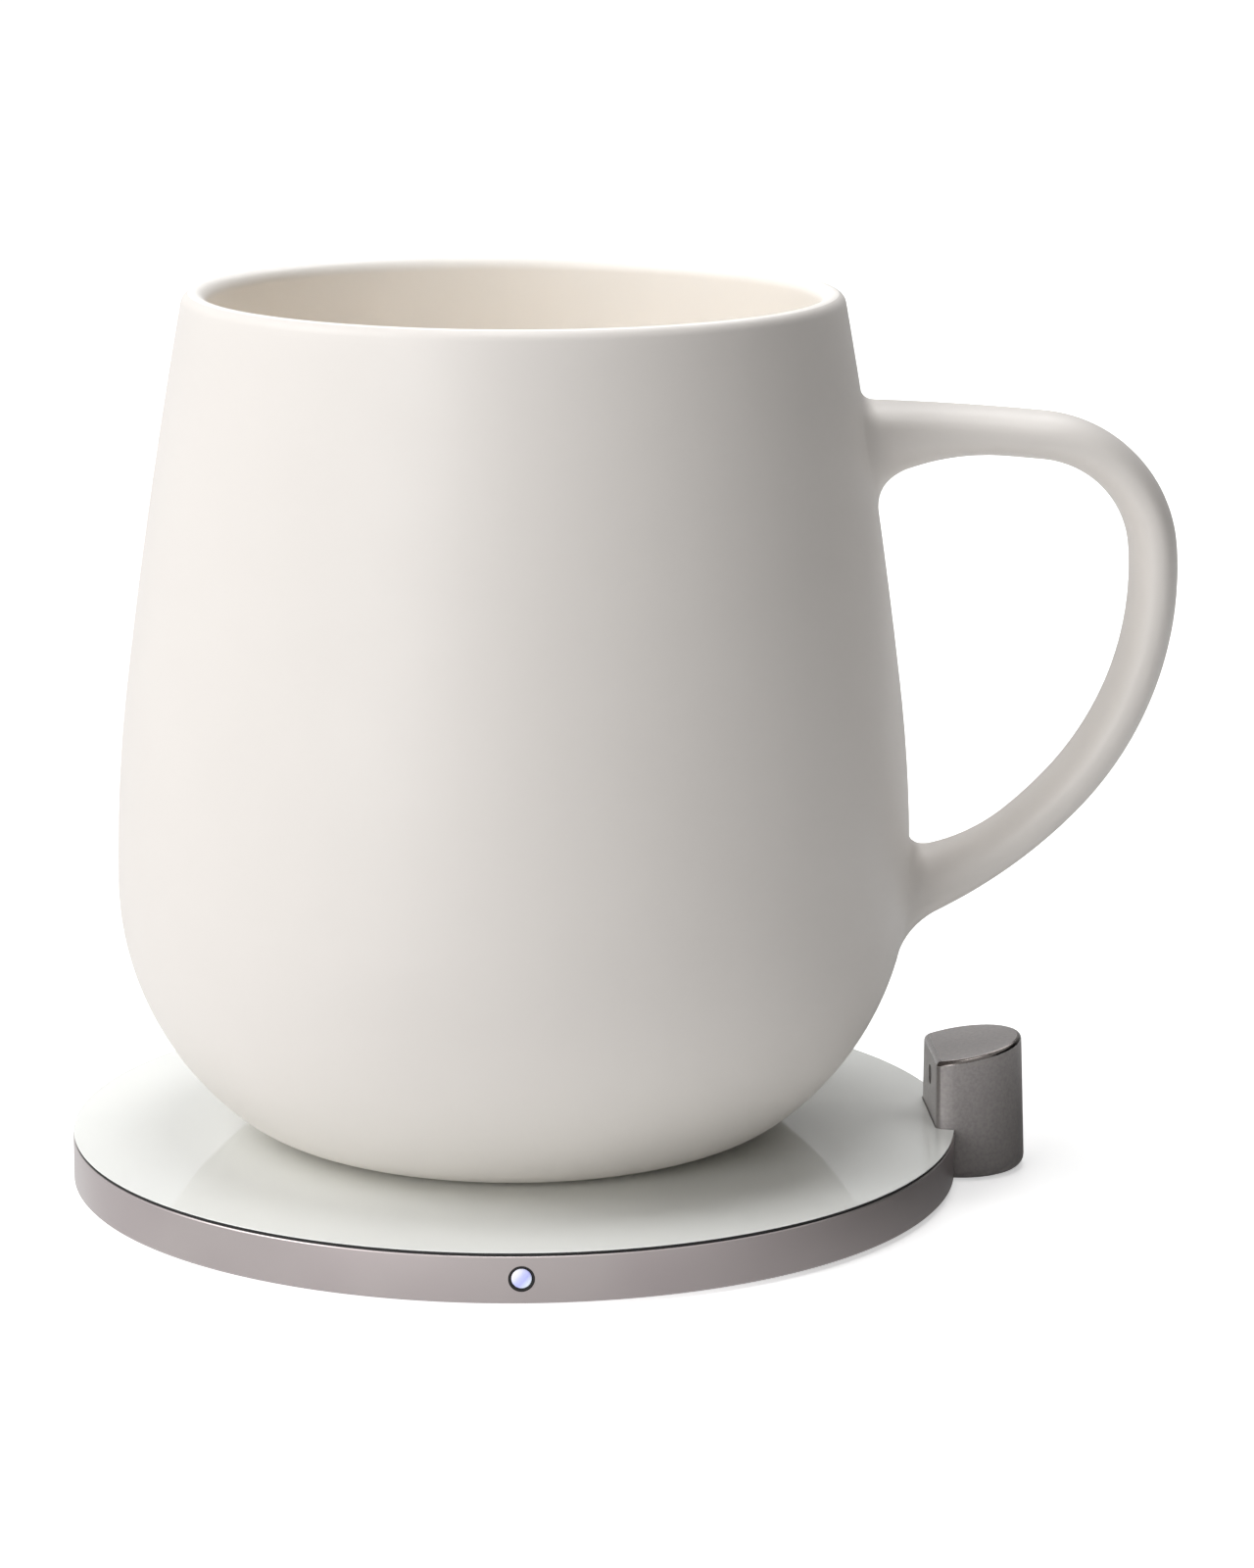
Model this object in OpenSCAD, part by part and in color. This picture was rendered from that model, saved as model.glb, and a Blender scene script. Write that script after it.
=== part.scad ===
// Self-heating ceramic mug standing on a thin round warming pad. Sizes are in millimetres.
// The origin is the middle of the pad's underside, on the table, with +Z up.
// +X points to the mug's handle and -Y to the lit button, as the photo shows them.

/* [Rim and glass] */
// Outer diameter of the pad's metal rim
pad_d = 100; // [96:1:110]
// Wall of the rim
rim_wall = 1.8; // [1.7:0.1:2]
// Bevel along the rim's top and bottom edges
rim_bevel = 0.3; // [0.2:0.05:0.35]
// Height of the rim's top edge below the glass
rim_drop = 0.4; // [0.3:0.05:0.5]
// Width of the rim's top edge outside the gasket
rim_lip = 0.4; // [0.4:0.05:0.5]
// Width of the ledge that carries the glass
ledge_w = 1.7; // [1.5:0.1:2]
// Thickness of that ledge
ledge_t = 0.75; // [0.6:0.05:0.8]
// Thickness of the glass
glass_t = 1.1; // [1:0.1:1.3]
// Polished bevel of the glass
glass_bevel = 0.25; // [0.15:0.05:0.3]
// Width of the black gasket that shows round the glass
gasket_w = 0.3; // [0.25:0.05:0.4]
// Thickness of the gasket under the glass
gasket_t = 0.15; // [0.1:0.05:0.2]

/* [Underside] */
// Height of the rim above the table
foot_gap = 0.4; // [0.3:0.05:0.6]
// Thickness of the bottom plate
base_t = 1.6; // [1.5:0.1:1.8]
// Width of the bottom plate that shows round the silicone mat
mat_border = 2.2; // [1.6:0.1:4]
// Depth that the mat is let into the bottom plate
mat_inset = 0.6; // [0.5:0.05:0.65]
// Distance of the bottom plate's screws from the rim's inner wall
screw_inset = 3.6; // [3.4:0.1:3.8]
// Directions of the bottom plate's screws
screw_angles = [40, 140, 220, 320];
// Diameter of a screw's shank
screw_d = 1.6; // [1.4:0.1:1.8]
// Diameter of a screw's head
screw_head_d = 3; // [2.6:0.1:3.2]
// Height of a screw's head
screw_head_t = 0.6; // [0.5:0.05:0.65]

/* [Pad electronics] */
// Thickness of the control board
board_t = 0.8; // [0.6:0.1:1]
// Gap between the control board and the rim's inner wall
board_border = 2.6; // [2.4:0.1:3.2]
// Thickness of the adhesive carrier under the ferrite
carrier_t = 0.3; // [0.2:0.05:0.4]
// Thickness of the ferrite sheet
ferrite_t = 0.5; // [0.4:0.05:0.7]
// Diameter of the ferrite sheet
ferrite_d = 51; // [50:1:54]
// Thickness of the sheet between coil and glass
thermal_pad_t = 0.4; // [0.3:0.05:0.5]
// Diameter of the transmitter coil's wire bundle
tx_wire_d = 0.9; // [0.8:0.05:1]
// Space from one transmitter turn to the next
tx_pitch = 1.2; // [1.1:0.05:1.3]
// Radius of the transmitter coil's first turn
tx_inner_r = 10.5; // [9:0.5:12]
// Turns of the transmitter coil
tx_turns = 10; // [6:1:10]
// Diameter of the temperature sensor in the middle of the coil
thermistor_d = 2.4; // [2:0.2:3]
// Height of the tallest parts on the control board
part_h = 1.7; // [1.4:0.1:1.8]

/* [Button] */
// Height of the button's middle above the table
button_z = 3.15; // [3.1:0.01:3.2]
// Diameter of the lit button face
button_d = 2.26; // [2:0.02:2.4]
// Gap round the button, inside its black ring
button_fit = 0.05; // [0.04:0.01:0.08]
// Wall of the black ring
seal_wall = 0.22; // [0.2:0.01:0.3]
// Travel of the button
button_travel = 0.35; // [0.2:0.05:0.4]
// Width of the wings that hold the button in
wing_w = 6.4; // [5.6:0.2:6.8]
// Height of the wings
wing_h = 1.5; // [1.2:0.1:1.6]
// Thickness of the wings
wing_t = 0.5; // [0.4:0.05:0.6]
// Width of the switch body
switch_w = 4; // [3.6:0.1:4.2]
// Depth of the switch body
switch_l = 2.4; // [2.2:0.1:2.6]
// Height of the switch body
switch_h = 1.6; // [1.5:0.05:1.65]
// Diameter of the switch's plunger
plunger_d = 1.2; // [1:0.1:1.3]

/* [Power socket] */
// Height of the socket's middle above the table
socket_z = 2.95; // [2.9:0.01:2.98]
// Outer width of the socket's metal shell
socket_w = 8.94; // [8.9:0.01:9]
// Outer height of the socket's metal shell
socket_h = 3.16; // [3.1:0.01:3.2]
// Wall of the socket's metal shell
socket_wall = 0.3; // [0.2:0.05:0.35]
// Depth of the socket
socket_l = 7.3; // [6.8:0.1:7.6]
// Width of the contact tongue
tongue_w = 6.7; // [6.5:0.1:6.8]
// Thickness of the contact tongue
tongue_t = 0.7; // [0.6:0.05:0.8]

/* [Sensor tower] */
// Direction of the tower from the middle of the pad
tower_angle = 1.5; // [0:0.5:4]
// Distance of the tower's flat face inside the rim's outer edge
tower_inset = 2.55; // [2.4:0.05:2.7]
// Distance from the flat face to the middle of the round back
tower_flat_depth = 3.35; // [3.2:0.05:3.5]
// Radius of the round back at the foot
tower_foot_r = 7.6; // [7.5:0.05:7.8]
// Radius of the round back at the top
tower_top_r = 6.8; // [6.6:0.05:7.2]
// Height of the flat face above the glass
tower_face_h = 7.6; // [7.3:0.1:8]
// Slope of the tower's top, rising to the outside
tower_slope = 10; // [7:0.5:11]
// Height of the tower's foot above the table
tower_foot_gap = 0.1; // [0.05:0.05:0.3]
// Bevel along the tower's lower edge
tower_bevel = 1.1; // [0.8:0.1:1.2]
// Cut across the tower's two upright corners
tower_corner = 1; // [0.8:0.1:1.2]
// Wall of the tower
tower_wall = 1.4; // [1.3:0.05:1.5]
// Seam between the tower and the rim
tower_seam = 0.2; // [0.15:0.05:0.25]
// Diameter of the sensor window
window_d = 2.3; // [2:0.1:2.6]
// Height of the window's middle above the glass
window_z = 4.5; // [4.2:0.1:4.6]
// Depth of the window below the tower's face
window_inset = 0.3; // [0.2:0.05:0.4]

/* [Mug] */
// Height of the mug's rim above the glass
mug_h = 94.4; // [88:0.2:98]
// Widest radius of the mug
belly_r = 44.4; // [43:0.1:45]
// Height of the widest place above the glass
belly_z = 28.8; // [28:0.1:29.5]
// Radius of the curve from the belly down towards the foot
foot_curve_r = 33; // [32.5:0.1:34]
// Angle of that curve
foot_curve_angle = 50; // [48:1:52]
// Radius of the tighter curve below it, round the foot
foot_edge_r = 15.2; // [14.8:0.1:15.6]
// Radius of the curve just above the belly
waist_curve_r = 180; // [160:5:240]
// Height of that curve
waist_curve_h = 22; // [16:1:24]
// Radius of the long curve up to the rim
top_curve_r = 700; // [500:10:900]
// Wall of the mug
mug_wall = 2.8; // [2.6:0.1:3.4]
// Thickness of the ceramic floor over the heater
floor_t = 4; // [3:0.1:5]
// Height of the ceramic above the glass
mug_lift = 0.3; // [0.2:0.05:0.4]
// Gap between the mug's foot ring and the glass
foot_rest = 0.05; // [0.02:0.01:0.1]

/* [Mug base] */
// Diameter of the heater's recess in the mug's underside
recess_d = 43; // [41:0.5:44]
// Depth of the bottom cover inside the underside
cover_inset = 0.2; // [0.1:0.05:0.3]
// Thickness of the bottom cover
cover_t = 1.8; // [1.6:0.1:2.2]
// Width of the seal round the bottom cover
cover_seal_w = 0.9; // [0.7:0.1:1.2]
// Height of that seal
cover_seal_t = 0.8; // [0.6:0.05:0.9]
// Diameter of the receiver coil's wire
rx_wire_d = 0.8; // [0.7:0.05:0.9]
// Space from one receiver turn to the next
rx_pitch = 1.1; // [1:0.05:1.2]
// Radius of the receiver coil's first turn
rx_inner_r = 9; // [8:0.5:10]
// Turns of the receiver coil
rx_turns = 9; // [6:1:10]
// Thickness of the receiver's ferrite sheet
rx_ferrite_t = 0.5; // [0.4:0.05:0.7]
// Thickness of the insulation under the heater
insulation_t = 1.3; // [1.2:0.1:1.6]
// Thickness of the heating disc
heater_t = 0.5; // [0.4:0.05:0.7]
// Diameter of the over-temperature cut-out
cutout_d = 8; // [7:0.5:9]
// Height of the over-temperature cut-out
cutout_t = 1.1; // [0.9:0.05:1.15]
// Middle radius of the silicone foot ring
foot_ring_r = 23.4; // [23:0.1:23.6]
// Width of the silicone foot ring
foot_ring_w = 1.6; // [1.2:0.1:1.8]
// Depth that the foot ring is let into the ceramic
foot_ring_inset = 0.7; // [0.5:0.05:0.9]

/* [Handle] */
// Width of the handle
handle_w = 10.5; // [9.5:0.5:12]
// Thickness of the handle
handle_t = 5.3; // [5:0.1:6]
// Height of the handle's upper root above the glass
handle_top_z = 79.6; // [78:0.2:80]
// Lean of the upper root, down to the outside
handle_lean = 1; // [0:0.5:3]
// Radius of the slight curve along the upper arm
arm_curve_r = 290; // [260:10:320]
// Angle of that curve
arm_angle = 4.5; // [4:0.5:5]
// Radius of the first bend
bend_r = 13.8; // [13:0.1:14.5]
// Angle of the first bend
bend_angle = 79.5; // [78:0.5:81]
// Radius of the long curve down
sweep_r = 36; // [35:0.5:37]
// Angle of the long curve
sweep_angle = 48.5; // [47:0.5:50]
// Radius of the last curve into the mug
tail_r = 52; // [50:1:54]
// Angle of the last curve
tail_angle = 27; // [26:0.5:28]
// Length over which the handle swells towards its hidden ends
root_l = 18.5; // [16:0.5:20]
// Swelling of the upper end on the side of the fingers
root_in = 6.4; // [5:0.2:7]
// Swelling of the lower end on the side of the fingers
root_in_low = 4.9; // [4:0.1:6]
// Swelling of both ends on the flanks
root_flank = 0.9; // [0.4:0.1:1.2]

/* [Hidden] */
$fn = 96;
BIG = 300;
CUT = 1;
TINY = 0.02;
FIT = 0.1;
SCREW_FIT = 0.03;

// Heights in the pad, stacked from the table up
base_top = foot_gap + base_t;
mat_top = foot_gap + mat_inset;
board_top = base_top + board_t;
carrier_top = board_top + carrier_t;
ferrite_top = carrier_top + ferrite_t;
coil_top = ferrite_top + tx_wire_d;
glass_bottom = coil_top + thermal_pad_t;
pad_h = glass_bottom + glass_t;
ledge_top = glass_bottom - gasket_t;
ledge_bottom = ledge_top - ledge_t;
rim_top = pad_h - rim_drop;
gasket_top = pad_h - glass_bevel;

// Radii in the pad
pad_r = pad_d / 2;
rim_inner_r = pad_r - rim_wall;
seat_r = pad_r - rim_lip;
glass_r = seat_r - gasket_w;
ledge_r = rim_inner_r - ledge_w;
mat_r = rim_inner_r - mat_border;
board_r = rim_inner_r - board_border;
screw_circle_r = rim_inner_r - screw_inset;
boss_wall = 1.2;
boss_r = screw_d / 2 + boss_wall;
board_gap = 0.3;
screw_tip_gap = 0.4;

// Button and switch, along -Y
seal_r = button_d / 2 + button_fit + seal_wall;
button_face_y = -pad_r;
seal_recess = 0.15;
seal_face_y = button_face_y + seal_recess;
seal_back_y = -rim_inner_r - 0.05;
wing_gap = 0.3;
wing_y = -rim_inner_r + wing_gap;
wing_back_y = wing_y + wing_t;
switch_gap = 1;
switch_face_y = wing_back_y + button_travel + switch_gap;
switch_bottom = button_z - switch_h / 2;
switch_slack = 0.1;
switch_tab = [0.5, 1.2, 0.2];
plunger_hole_l = 1.2;
plunger_end_gap = 0.3;
plunger_end_y = switch_face_y + plunger_hole_l - button_travel - plunger_end_gap;
led_size = [1.6, 0.8, 0.6];
led_gap = 0.6;

// Power socket, along +Y
socket_recess = 0.3;
socket_mouth_y = pad_r - socket_recess;
socket_back_y = socket_mouth_y - socket_l;
socket_plug_l = 1.5;
tongue_recess = 0.9;
socket_slack = 0.04;

// Tower
tower_flat_x = pad_r - tower_inset;
tower_x = tower_flat_x + tower_flat_depth;
tower_top_z = pad_h + tower_face_h;
tower_inner_x = tower_flat_x + tower_wall;
tower_lobe_r = tower_foot_r - tower_wall - 2 * FIT;
tower_headroom = 5;
tower_board_t = 0.6;
tower_board_w = 7.4;
sensor_size = 3.2;
sensor_l = 1.3;
tower_board_x = tower_inner_x + sensor_l;
tower_board_rest = 0.3;
tower_board_top = pad_h + window_z + sensor_size / 2 + tower_board_rest;
passage_w = 8;
ribbon_w = 6;
ribbon_t = 0.2;
ribbon_overlap = 2.5;
ribbon_rise = 3;
tower_boss_out = 2.8;
tower_boss_x = tower_x + tower_boss_out;
tower_boss_y = 3.2;
tower_boss_r = 2.3;
tower_boss_top = pad_h + 2.5;
tower_hole_roof = 1;
tower_screw_l = 5;

// Heights in the mug, stacked from the glass up
mug_bottom = pad_h + mug_lift;
cover_bottom = mug_bottom + cover_inset;
cover_top = cover_bottom + cover_t;
rx_top = cover_top + rx_wire_d;
rx_ferrite_top = rx_top + rx_ferrite_t;
insulation_top = rx_ferrite_top + insulation_t;
recess_top = insulation_top + heater_t;
cup_floor = recess_top + floor_t;
belly_h = pad_h + belly_z;
mug_top = pad_h + mug_h;
recess_r = recess_d / 2;
disc_gap = 0.5;
disc_r = recess_r - disc_gap;

// Middles of the four curves of the mug's side, each continuing the one below it
foot_curve_x = belly_r - foot_curve_r;
foot_edge_x = foot_curve_x + (foot_curve_r - foot_edge_r) * cos(foot_curve_angle);
foot_edge_z = belly_h - (foot_curve_r - foot_edge_r) * sin(foot_curve_angle);
waist_curve_x = belly_r - waist_curve_r;
waist_angle = asin(waist_curve_h / waist_curve_r);
top_curve_x = waist_curve_x + (waist_curve_r - top_curve_r) * cos(waist_angle);
top_curve_z = belly_h + (waist_curve_r - top_curve_r) * sin(waist_angle);
lip_r = mug_wall / 2;
rim_angle = asin((mug_top - lip_r - top_curve_z) / (top_curve_r - lip_r));

// Handle, in the plane of X and Z
handle_root = [36, pad_h + handle_top_z, 90 - handle_lean];
handle_arcs = [
    [arm_curve_r, arm_angle, 8],
    [bend_r, bend_angle, 12],
    [sweep_r, sweep_angle, 10],
    [tail_r, tail_angle, 10]
];
handle_sides = 20;
handle_corner_power = 0.9;

// Parts on the control board: lower corners and sizes
chip_at = [-35.5, 5];
chip_size = [5, 5, 0.9];
transistors_at = [[-36.5, -13], [-36.5, -6]];
transistor_size = [6, 5, 1];
capacitors_at = [[-13.5, 32], [-9.5, 32], [-5.5, 32]];
capacitor_size = [3.2, 2.5, part_h];

// Ring between two radii
module ring(outer_r, inner_r, h) {
    difference() {
        cylinder(r = outer_r, h = h);
        translate([0, 0, -CUT]) cylinder(r = inner_r, h = h + 2 * CUT);
    }
}

// Rod along Y
module rod_y(r, y0, y1) {
    translate([0, y1, 0]) rotate([90, 0, 0]) cylinder(r = r, h = y1 - y0);
}

// Bar along Y with rounded sides, as wide as w and as high as h
module flat_bar_y(w, h, y0, y1) {
    translate([0, y1, 0]) rotate([90, 0, 0]) linear_extrude(height = y1 - y0) {
        square([w - h, h], center = true);
        for (s = [-1, 1]) translate([s * (w - h) / 2, 0]) circle(d = h);
    }
}

// Flat coil of round wire, as half turns about two middles
module flat_coil(inner_r, turns, wire_d, pitch) {
    for (i = [0 : turns - 1]) {
        rotate_extrude(angle = 180) translate([inner_r + i * pitch, 0]) circle(d = wire_d, $fn = 24);
        translate([pitch / 2, 0, 0]) rotate([0, 0, 180]) rotate_extrude(angle = 180)
            translate([inner_r + (i + 0.5) * pitch, 0]) circle(d = wire_d, $fn = 24);
    }
}

// Copies at the bottom plate's screws
module at_base_screws() {
    for (a = screw_angles) rotate([0, 0, a]) translate([screw_circle_r, 0, 0]) children();
}

// Copies at the tower's screws
module at_tower_screws() {
    rotate([0, 0, tower_angle])
        for (s = [-1, 1]) translate([tower_boss_x, s * tower_boss_y, 0]) children();
}

// Countersunk head and shank of a screw driven upwards, z0 the underside of its head
module screw(z0, l, slack) {
    translate([0, 0, z0]) cylinder(r = screw_head_d / 2 + slack, h = screw_head_t);
    translate([0, 0, z0]) cylinder(r = screw_d / 2 + slack, h = l);
}

// The tower's outer shape grown by g on every side, from height low up
module tower_solid(g, low, bevel = 0) {
    high = tower_top_z + tower_headroom;
    foot = bevel > 0
        ? [[tower_foot_r + g - bevel, low], [tower_foot_r + g, low + bevel]]
        : [[tower_foot_r + g, low]];
    difference() {
        intersection() {
            translate([tower_x, 0, 0]) rotate_extrude()
                polygon(concat([[0, low]], foot, [[tower_top_r + g, high], [0, high]]));
            translate([tower_flat_x - g, -BIG / 2, low - CUT]) cube([BIG, BIG, BIG]);
            translate([tower_flat_x, 0, tower_top_z + g]) rotate([0, -tower_slope, 0])
                translate([-BIG / 2, -BIG / 2, -BIG]) cube([BIG, BIG, BIG]);
        }
        for (s = [-1, 1])
            translate([tower_flat_x - g, s * (tower_foot_r - tower_corner + g), low - CUT])
                rotate([0, 0, s * 45]) translate([-BIG / 2, s < 0 ? -BIG : 0, 0]) cube([BIG, BIG, BIG]);
    }
}

// The tower's plan with the round back's radius r and the flat face at flat_x
module tower_plan(r, flat_x) {
    corner_y = r - tower_corner;
    intersection() {
        translate([tower_x, 0]) circle(r = r);
        polygon([
            [flat_x, -corner_y], [flat_x + BIG, -corner_y - BIG],
            [flat_x + BIG, corner_y + BIG], [flat_x, corner_y]]);
    }
}

module in_tower() {
    rotate([0, 0, tower_angle]) children();
}

// At the middle of the sensor window, x from the pad's middle, facing outwards
module at_window(x) {
    translate([x, 0, pad_h + window_z]) rotate([0, 90, 0]) children();
}

// Half outline of the mug, drawn in from its outside by inset, from height z0 up to the lip
function mug_side(inset, z0) =
    let (
        foot_r = foot_curve_r - inset,
        edge_r = foot_edge_r - inset,
        foot_a = min(foot_curve_angle, asin((belly_h - z0) / foot_r)),
        edge_a = asin(min(1, (foot_edge_z - z0) / edge_r)))
    concat(
        foot_a < foot_curve_angle ? [] :
            [for (i = [0 : 6]) let (a = -edge_a + (edge_a - foot_a) * i / 7)
                [foot_edge_x + edge_r * cos(a), foot_edge_z + edge_r * sin(a)]],
        [for (i = [0 : 11]) let (a = -foot_a + foot_a * i / 12)
            [foot_curve_x + foot_r * cos(a), belly_h + foot_r * sin(a)]],
        [for (i = [0 : 3]) let (a = waist_angle * i / 4)
            [waist_curve_x + (waist_curve_r - inset) * cos(a), belly_h + (waist_curve_r - inset) * sin(a)]],
        [for (i = [0 : 8]) let (a = waist_angle + (rim_angle - waist_angle) * i / 8)
            [top_curve_x + (top_curve_r - inset) * cos(a), top_curve_z + (top_curve_r - inset) * sin(a)]]);

// Round lip from the outside of the wall over to its inside
function mug_lip() =
    let (x = top_curve_x + (top_curve_r - lip_r) * cos(rim_angle),
         z = top_curve_z + (top_curve_r - lip_r) * sin(rim_angle))
    [for (i = [1 : 9]) let (a = rim_angle + 18 * i) [x + lip_r * cos(a), z + lip_r * sin(a)]];

function backwards(v) = [for (i = [len(v) - 1 : -1 : 0]) v[i]];

// Places along the handle's arcs from number i on, each [x, z, direction of its outer side]
function arc_chain(i, from) =
    i == len(handle_arcs) ? [] : let (
        r = handle_arcs[i][0],
        turn = handle_arcs[i][1],
        n = handle_arcs[i][2],
        x = from[0] - r * cos(from[2]),
        z = from[1] - r * sin(from[2]),
        places = [for (k = [1 : n]) let (a = from[2] - turn * k / n) [x + r * cos(a), z + r * sin(a), a]])
    concat(places, arc_chain(i + 1, places[n - 1]));

// Places along the whole handle, from inside the mug's wall round and back into it
handle_places = concat([handle_root], arc_chain(0, handle_root));
handle_last = len(handle_places) - 1;

// How far a place is swollen for the handle's end at place e, from 1 there down to 0
function root_swell(p, e) = pow(max(0, 1 - norm([p[0] - e[0], p[1] - e[1]]) / root_l), 2);

function soft_corner(c) = sign(c) * pow(abs(c), handle_corner_power);

// Points of the handle's cross-section at the place p
function handle_section(p) =
    let (
        upper = root_swell(p, handle_places[0]),
        lower = root_swell(p, handle_places[handle_last]),
        inside = handle_t / 2 + upper * root_in + lower * root_in_low,
        flank = handle_w / 2 + (upper + lower) * root_flank)
    [for (k = [0 : handle_sides - 1]) let (
        t = 360 * k / handle_sides,
        u = soft_corner(cos(t)) * (cos(t) > 0 ? handle_t / 2 : inside),
        v = soft_corner(sin(t)) * flank)
        [p[0] + u * cos(p[2]), v, p[1] + u * sin(p[2])]];

// Pad: metal rim with the ledge, screw bosses and the openings for button, socket and tower
module pad_housing() {
    color("#A8A0A0") difference() {
        union() {
            rotate_extrude() polygon([
                [pad_r - rim_bevel, foot_gap], [pad_r, foot_gap + rim_bevel], [pad_r, rim_top - rim_bevel],
                [pad_r - rim_bevel, rim_top], [seat_r, rim_top], [seat_r, ledge_top], [ledge_r, ledge_top],
                [ledge_r, ledge_bottom], [rim_inner_r, ledge_bottom], [rim_inner_r, foot_gap]]);
            at_base_screws() translate([0, 0, base_top]) {
                cylinder(r = boss_r, h = ledge_top - base_top);
                translate([0, -boss_r / 2, 0])
                    cube([rim_inner_r - screw_circle_r + rim_wall / 2, boss_r, ledge_top - base_top]);
            }
        }
        at_base_screws() translate([0, 0, base_top - CUT])
            cylinder(r = screw_d / 2 + SCREW_FIT, h = ledge_bottom - base_top + CUT);
        translate([0, 0, button_z]) {
            rod_y(seal_r, -pad_r - CUT, -ledge_r);
            translate([0, -pad_r - TINY, 0]) rotate([-90, 0, 0])
                cylinder(r1 = seal_r + rim_bevel, r2 = seal_r, h = rim_bevel);
        }
        translate([0, 0, socket_z])
            flat_bar_y(
                socket_w + 2 * socket_slack, socket_h + 2 * socket_slack, socket_back_y, pad_r + CUT);
        in_tower() tower_solid(tower_seam, 0);
    }
}

// Glass top, notched round the tower
module glass_top() {
    color("#ECEDEA") difference() {
        rotate_extrude() polygon([
            [0, glass_bottom], [glass_r, glass_bottom], [glass_r, gasket_top],
            [glass_r - glass_bevel, pad_h], [0, pad_h]]);
        in_tower() tower_solid(FIT, 0);
    }
}

// Black gasket under and round the glass
module glass_gasket() {
    color("#181818") difference() {
        rotate_extrude() polygon([
            [ledge_r + gasket_w, ledge_top], [seat_r, ledge_top], [seat_r, gasket_top],
            [glass_r, gasket_top], [glass_r, glass_bottom], [ledge_r + gasket_w, glass_bottom]]);
        in_tower() tower_solid(FIT, 0);
    }
}

// Bottom plate with the lobe that closes the tower and a bridge to it through the tower's wall
module base_plate() {
    bridge_x = tower_flat_x - tower_wall / 2;
    color("#3B3A3C") difference() {
        union() {
            difference() {
                translate([0, 0, foot_gap]) cylinder(r = rim_inner_r - FIT, h = base_t);
                translate([-socket_w / 2 - FIT, socket_back_y - FIT, socket_z - socket_h / 2])
                    cube([socket_w + 2 * FIT, socket_l + CUT, socket_h]);
                translate([0, 0, foot_gap - CUT]) cylinder(r = mat_r + FIT, h = mat_inset + CUT);
                in_tower() tower_solid(FIT, 0);
            }
            in_tower() {
                translate([0, 0, foot_gap]) linear_extrude(height = base_t)
                    tower_plan(tower_lobe_r, tower_inner_x + FIT);
                translate([bridge_x, -passage_w / 2 + FIT, mat_top])
                    cube([tower_inner_x + CUT - bridge_x, passage_w - 2 * FIT, base_top - mat_top]);
            }
        }
        at_base_screws() screw(mat_top, BIG, FIT);
        at_tower_screws() screw(foot_gap, BIG, FIT);
    }
}

// Silicone mat that the pad stands on
module rubber_mat() {
    color("#2A2A2C") cylinder(r = mat_r, h = mat_top);
}

module base_screws() {
    color("#B5B5B8") at_base_screws() screw(mat_top, ledge_bottom - mat_top - screw_tip_gap, 0);
}

// Round circuit board with notches for the bosses, the switch and the socket
module control_board() {
    color("#1F5B3A") difference() {
        translate([0, 0, base_top]) cylinder(r = board_r, h = board_t);
        at_base_screws() translate([0, 0, base_top - CUT])
            cylinder(r = boss_r + board_gap, h = board_t + 2 * CUT);
        translate([-switch_w / 2 - switch_slack, -pad_r, base_top - CUT]) cube([
            switch_w + 2 * switch_slack, pad_r + switch_face_y + switch_l + switch_slack, board_t + 2 * CUT]);
        translate([-socket_w / 2 - FIT, socket_back_y - FIT, base_top - CUT])
            cube([socket_w + 2 * FIT, pad_r, board_t + 2 * CUT]);
    }
}

module controller_chip() {
    color("#1B1B1D") translate([chip_at[0], chip_at[1], board_top]) cube(chip_size);
}

module power_transistors() {
    color("#202022") for (p = transistors_at) translate([p[0], p[1], board_top]) cube(transistor_size);
}

module resonant_capacitors() {
    color("#B89B6B") for (p = capacitors_at) translate([p[0], p[1], board_top]) cube(capacitor_size);
}

// Adhesive sheet that holds the ferrite on the board
module coil_carrier() {
    color("#D8C48A") translate([0, 0, board_top]) ring(ferrite_d / 2, thermistor_d, carrier_t);
}

module ferrite_shield() {
    color("#3C3A3A") translate([0, 0, carrier_top]) ring(ferrite_d / 2, thermistor_d, ferrite_t);
}

module transmitter_coil() {
    color("#B8733A") translate([0, 0, ferrite_top + tx_wire_d / 2])
        flat_coil(tx_inner_r, tx_turns, tx_wire_d, tx_pitch);
}

// Soft sheet that presses the coil's heat sensor against the glass
module thermal_pad() {
    color("#9AA7B5") translate([0, 0, coil_top]) cylinder(d = ferrite_d, h = thermal_pad_t);
}

module pad_thermistor() {
    color("#30302E") translate([0, 0, board_top]) cylinder(d = thermistor_d, h = coil_top - board_top);
}

// Two small lamps that light the button through its wings
module status_leds() {
    color("#F2F2F2") for (s = [-1, 1])
        translate([s * (switch_w / 2 + switch_tab[0] + led_gap + led_size[0] / 2) - led_size[0] / 2,
                   switch_face_y + switch_slack, board_top])
            cube(led_size);
}

module button_switch() {
    color("#222224") difference() {
        union() {
            translate([-switch_w / 2, switch_face_y, switch_bottom]) cube([switch_w, switch_l, switch_h]);
            translate([
                -switch_w / 2 - switch_tab[0], switch_face_y + (switch_l - switch_tab[1]) / 2, board_top])
                cube([switch_w + 2 * switch_tab[0], switch_tab[1], switch_tab[2]]);
        }
        translate([0, 0, button_z])
            rod_y(plunger_d / 2 + button_fit, switch_face_y - CUT, switch_face_y + plunger_hole_l);
    }
}

// Black ring round the button
module button_seal() {
    color("#151517") translate([0, 0, button_z]) difference() {
        rod_y(seal_r, seal_face_y, seal_back_y);
        rod_y(button_d / 2 + button_fit, seal_face_y - CUT, seal_back_y + CUT);
    }
}

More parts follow.
